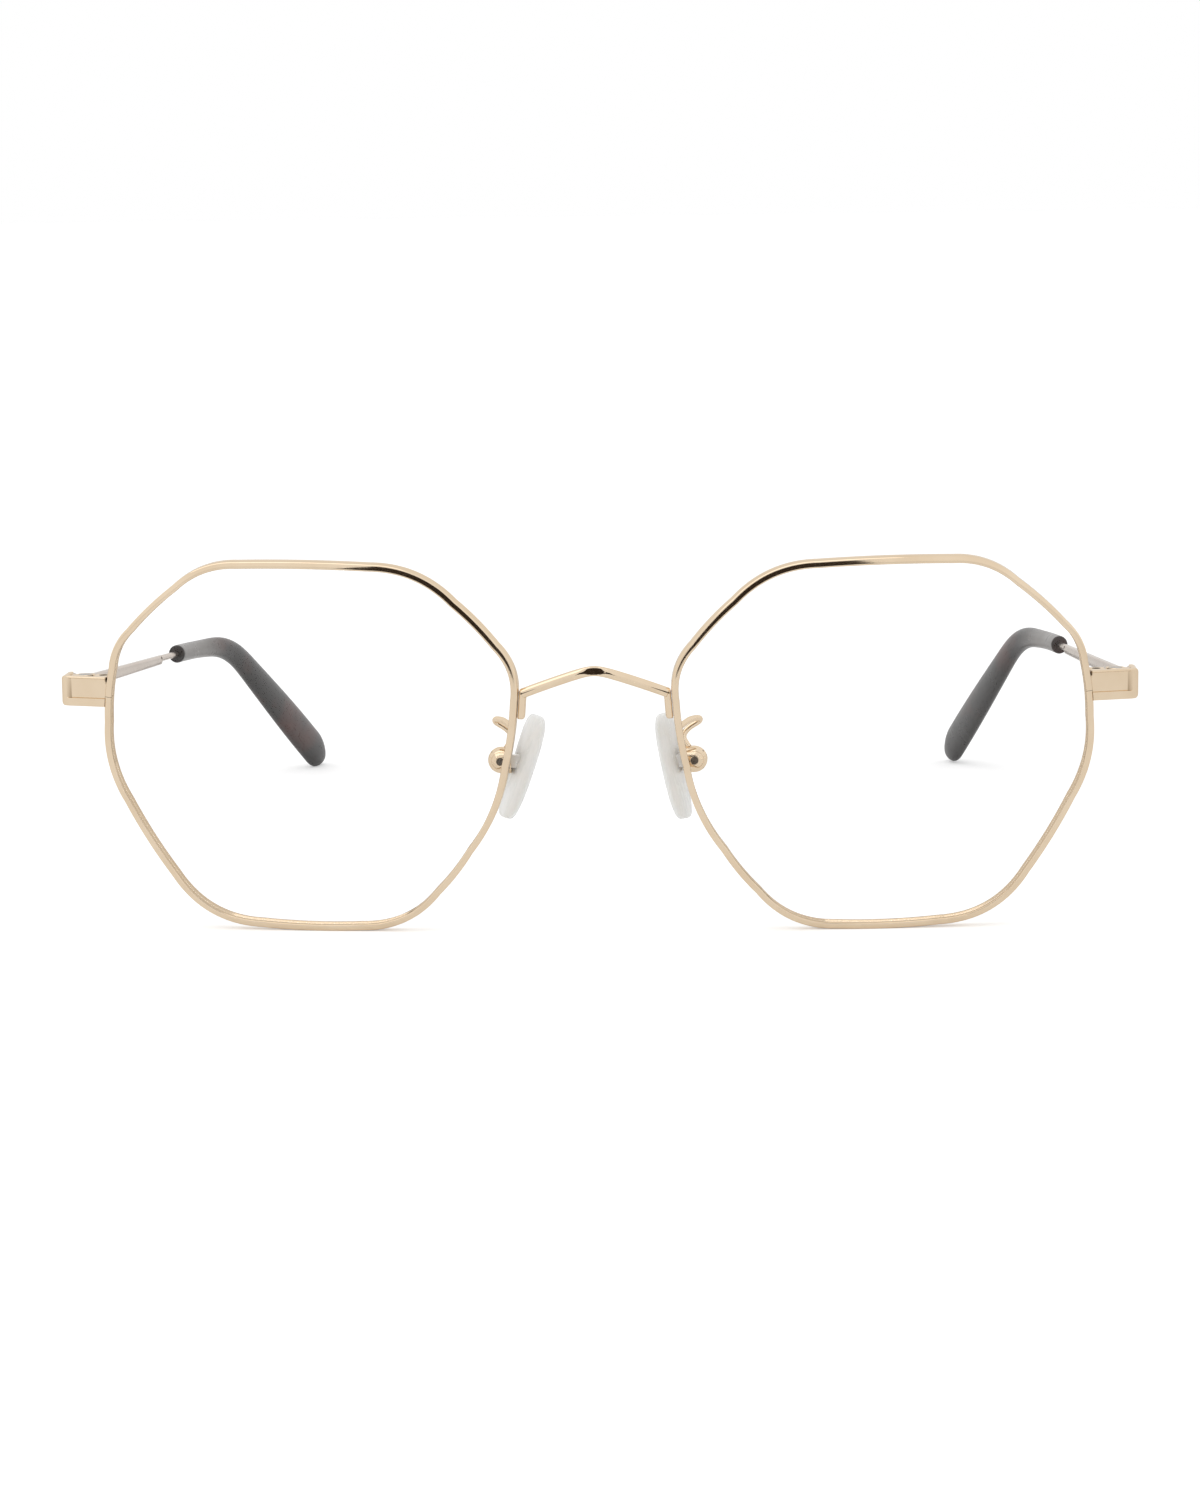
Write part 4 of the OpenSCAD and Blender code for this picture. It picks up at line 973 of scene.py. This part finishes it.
smallPieces = {
    "blockEdge": 0.08,    # bevel of the closing blocks
    "hingeEdge": 0.05,
    "boxEdge": 0.06,
    "blockInset": 0.3,    # how far the closing blocks reach in behind the rim's outer side
    "sharpFrom": 35,    # edges that turn more than this are bevelled
}
closingInner = plaqueRoot[0] - smallPieces["blockInset"]
for word in sides:
    cap = word.capitalize()
    for stem, width, nearest, body in (
            ("closing_block_upper_", smallPieces["blockEdge"], closingInner, "front"),
            ("closing_block_lower_", smallPieces["blockEdge"], closingInner, "front"),
            ("hinge_front_", smallPieces["hingeEdge"], 0, "front"),
            ("hinge_temple_", smallPieces["hingeEdge"], 0, word + "_temple"),
            ("pad_box_", smallPieces["boxEdge"], 0, "front")):
        first, *rest = stem.strip("_").split("_")
        name = first + "".join(part.capitalize() for part in rest) + cap
        easedCopy(name, stem + word, gold, body, width, nearest)
    for node in ("closing_screw_", "hinge_screw_", "pad_screw_", "pad_insert_"):
        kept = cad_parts[node + word]
        # the pad screws take the steel with painted shade, and the inserts the pale steel with painted light
        metal = {"pad_insert_": paintedLightInsert, "pad_screw_": paintedShadeSteel}.get(node, steel)
        if not kept.data.materials:
            kept.data.materials.append(metal)
        for place in kept.material_slots:
            place.material = metal
print("small pieces are eased")


# Studio: pale floor, white surroundings, one large soft lamp, and the camera where the photographer stood

studio = {
    "floorSize": 24.0,
    "floorLift": 0.3,    # brings the lit floor up to the white of the room
    "floorInPolish": 0.25,    # share of that lift that the metal's reflections see
    "paperTone": (253, 253, 253),
    "fibreTone": (250, 250, 250),
    "worldLight": 0.75,
    "lampPower": 2.2,
    "lampSize": (1.2, 0.9),
    "lampAt": (-0.35, -0.35, 1.0),
    "lampTurn": 19.0,
    "darkTone": (0.045, 0.034, 0.027, 1),
    "cardFar": -0.6,    # where the dark card stands
    "cardNear": -0.28,    # how near its part on the floor comes
    "cardTop": 0.205,
    "cardTopEnds": (-0.085, 0.1),
    "cardFarEnds": (-0.15, 0.13),    # of its edge on the floor, under the top
    "cardNearEnds": (-0.062, 0.045),
    "cardLift": 0.0006,    # above the floor
    "cameraAt": (0.020775, -0.536897, 0.096125),
    "heading": -2.48436,
    "pitch": 8.65423,
    "roll": -0.72037,
    "lens": 109.4064,
}


def sumOf(tree, operation, a, b):    # a math node on two values or sockets
    n = tree.nodes.new("ShaderNodeMath")
    n.operation = operation
    for socket, value in zip(n.inputs, (a, b)):
        if isinstance(value, bpy.types.NodeSocket):
            tree.links.new(value, socket)
        else:
            socket.default_value = value
    return n.outputs[0]


def seenDirectly(tree, inPolish=1.0):
    # 1 for what the camera sees, also through glass, and a share of it in polish
    path = tree.nodes.new("ShaderNodeLightPath").outputs
    direct = sumOf(tree, "MAXIMUM", path["Is Camera Ray"], path["Is Transmission Ray"])
    return sumOf(tree, "MAXIMUM", direct, sumOf(tree, "MULTIPLY", path["Is Glossy Ray"], inPolish))


def makeFloor():
    # a square of paper, lifted to white for what looks at it directly, which keeps the shadows on it
    size = studio["floorSize"] / 2
    mesh = bpy.data.meshes.new("floor")
    corners = [(-size, -size, 0), (size, -size, 0), (size, size, 0), (-size, size, 0)]
    mesh.from_pydata(corners, [], [(0, 1, 2, 3)])
    floor = bpy.data.objects.new("floor", mesh)
    bpy.context.scene.collection.objects.link(floor)
    f = Finish("paperFloor", Roughness=0.9)
    f.shader.inputs["Specular IOR Level"].default_value = 0.1
    fibres = f.noise(700, 5, 0.6)
    f.drive("Base Color", f.mix(linear(*studio["paperTone"]), linear(*studio["fibreTone"]), fibres))
    f.bump([(fibres, 0.00002, 0.1)])
    seen = seenDirectly(f.tree, studio["floorInPolish"])
    f.drive("Emission Strength", sumOf(f.tree, "MULTIPLY", seen, studio["floorLift"]))
    f.shader.inputs["Emission Color"].default_value = (1, 1, 1, 1)
    f.material.cycles.emission_sampling = "NONE"
    mesh.materials.append(f.material)


def makeWorld():
    # white to look at, and a plain level of light on the pieces
    world = bpy.data.worlds.new("whiteRoom")
    bpy.context.scene.world = world
    world.use_nodes = True
    tree = world.node_tree
    tree.nodes.clear()
    out = tree.nodes.new("ShaderNodeOutputWorld")
    light = tree.nodes.new("ShaderNodeBackground")
    seen = tree.nodes.new("ShaderNodeBackground")
    light.inputs[1].default_value = studio["worldLight"]
    seen.inputs[1].default_value = 1
    choose = tree.nodes.new("ShaderNodeMixShader")
    tree.links.new(seenDirectly(tree), choose.inputs[0])
    tree.links.new(light.outputs[0], choose.inputs[1])
    tree.links.new(seen.outputs[0], choose.inputs[2])
    tree.links.new(choose.outputs[0], out.inputs[0])
    light.inputs[0].default_value = (1, 1, 1, 1)
    seen.inputs[0].default_value = (1, 1, 1, 1)


def makeLamp():    # a large soft box above and in front, to the left
    data = bpy.data.lights.new("softBox", "AREA")
    data.shape = "RECTANGLE"
    data.size, data.size_y = studio["lampSize"]
    data.energy = studio["lampPower"]
    lamp = bpy.data.objects.new("softBox", data)
    bpy.context.scene.collection.objects.link(lamp)
    lamp.location = studio["lampAt"]
    lamp.rotation_euler = (math.radians(studio["lampTurn"]), math.radians(-studio["lampTurn"]), 0)


def makeDarkCard():
    # seen only in the polish: one dark sheet upright, and one flat on the floor before it
    mesh = bpy.data.meshes.new("darkCard")
    far, near, lifted, top = studio["cardFar"], studio["cardNear"], studio["cardLift"], studio["cardTop"]
    topLeft, topRight = studio["cardTopEnds"]
    farLeft, farRight = studio["cardFarEnds"]
    nearLeft, nearRight = studio["cardNearEnds"]
    points = [(topLeft, far, top), (topRight, far, top), (farRight, far, lifted), (farLeft, far, lifted),
              (nearRight, near, lifted), (nearLeft, near, lifted)]
    mesh.from_pydata(points, [], [(3, 2, 1, 0), (5, 4, 2, 3)])
    card = bpy.data.objects.new("darkCard", mesh)
    bpy.context.scene.collection.objects.link(card)
    f = Finish("darkCloth", Roughness=0.9, Base_Color=studio["darkTone"])
    f.shader.inputs["Specular IOR Level"].default_value = 0.0
    mesh.materials.append(f.material)
    card.visible_camera = False
    card.visible_diffuse = False
    card.visible_shadow = False
    card.visible_transmission = False


def makeCamera():
    # the camera's axes from its heading, pitch and roll: forward, then level and plumb, turned by the roll
    psi, pitch, roll = (math.radians(studio[k]) for k in ("heading", "pitch", "roll"))
    forward = np.array([math.sin(psi) * math.cos(pitch), math.cos(psi) * math.cos(pitch), -math.sin(pitch)])
    level = np.array([math.cos(psi), -math.sin(psi), 0])
    plumb = np.cross(level, forward)
    right = level * math.cos(roll) + plumb * math.sin(roll)
    top = plumb * math.cos(roll) - level * math.sin(roll)
    data = bpy.data.cameras.new("camera")
    data.sensor_fit = "HORIZONTAL"
    data.sensor_width = 36
    data.lens = studio["lens"]
    data.clip_start = 0.01
    camera = bpy.data.objects.new("camera", data)
    bpy.context.scene.collection.objects.link(camera)
    matrix = np.eye(4)
    matrix[:3, 0], matrix[:3, 1], matrix[:3, 2], matrix[:3, 3] = right, top, -forward, studio["cameraAt"]
    camera.matrix_world = Matrix(matrix.tolist())
    bpy.context.scene.camera = camera


makeFloor()
makeWorld()
makeLamp()
makeDarkCard()
makeCamera()
bpy.context.scene.view_settings.view_transform = "Standard"
print("studio is lit")
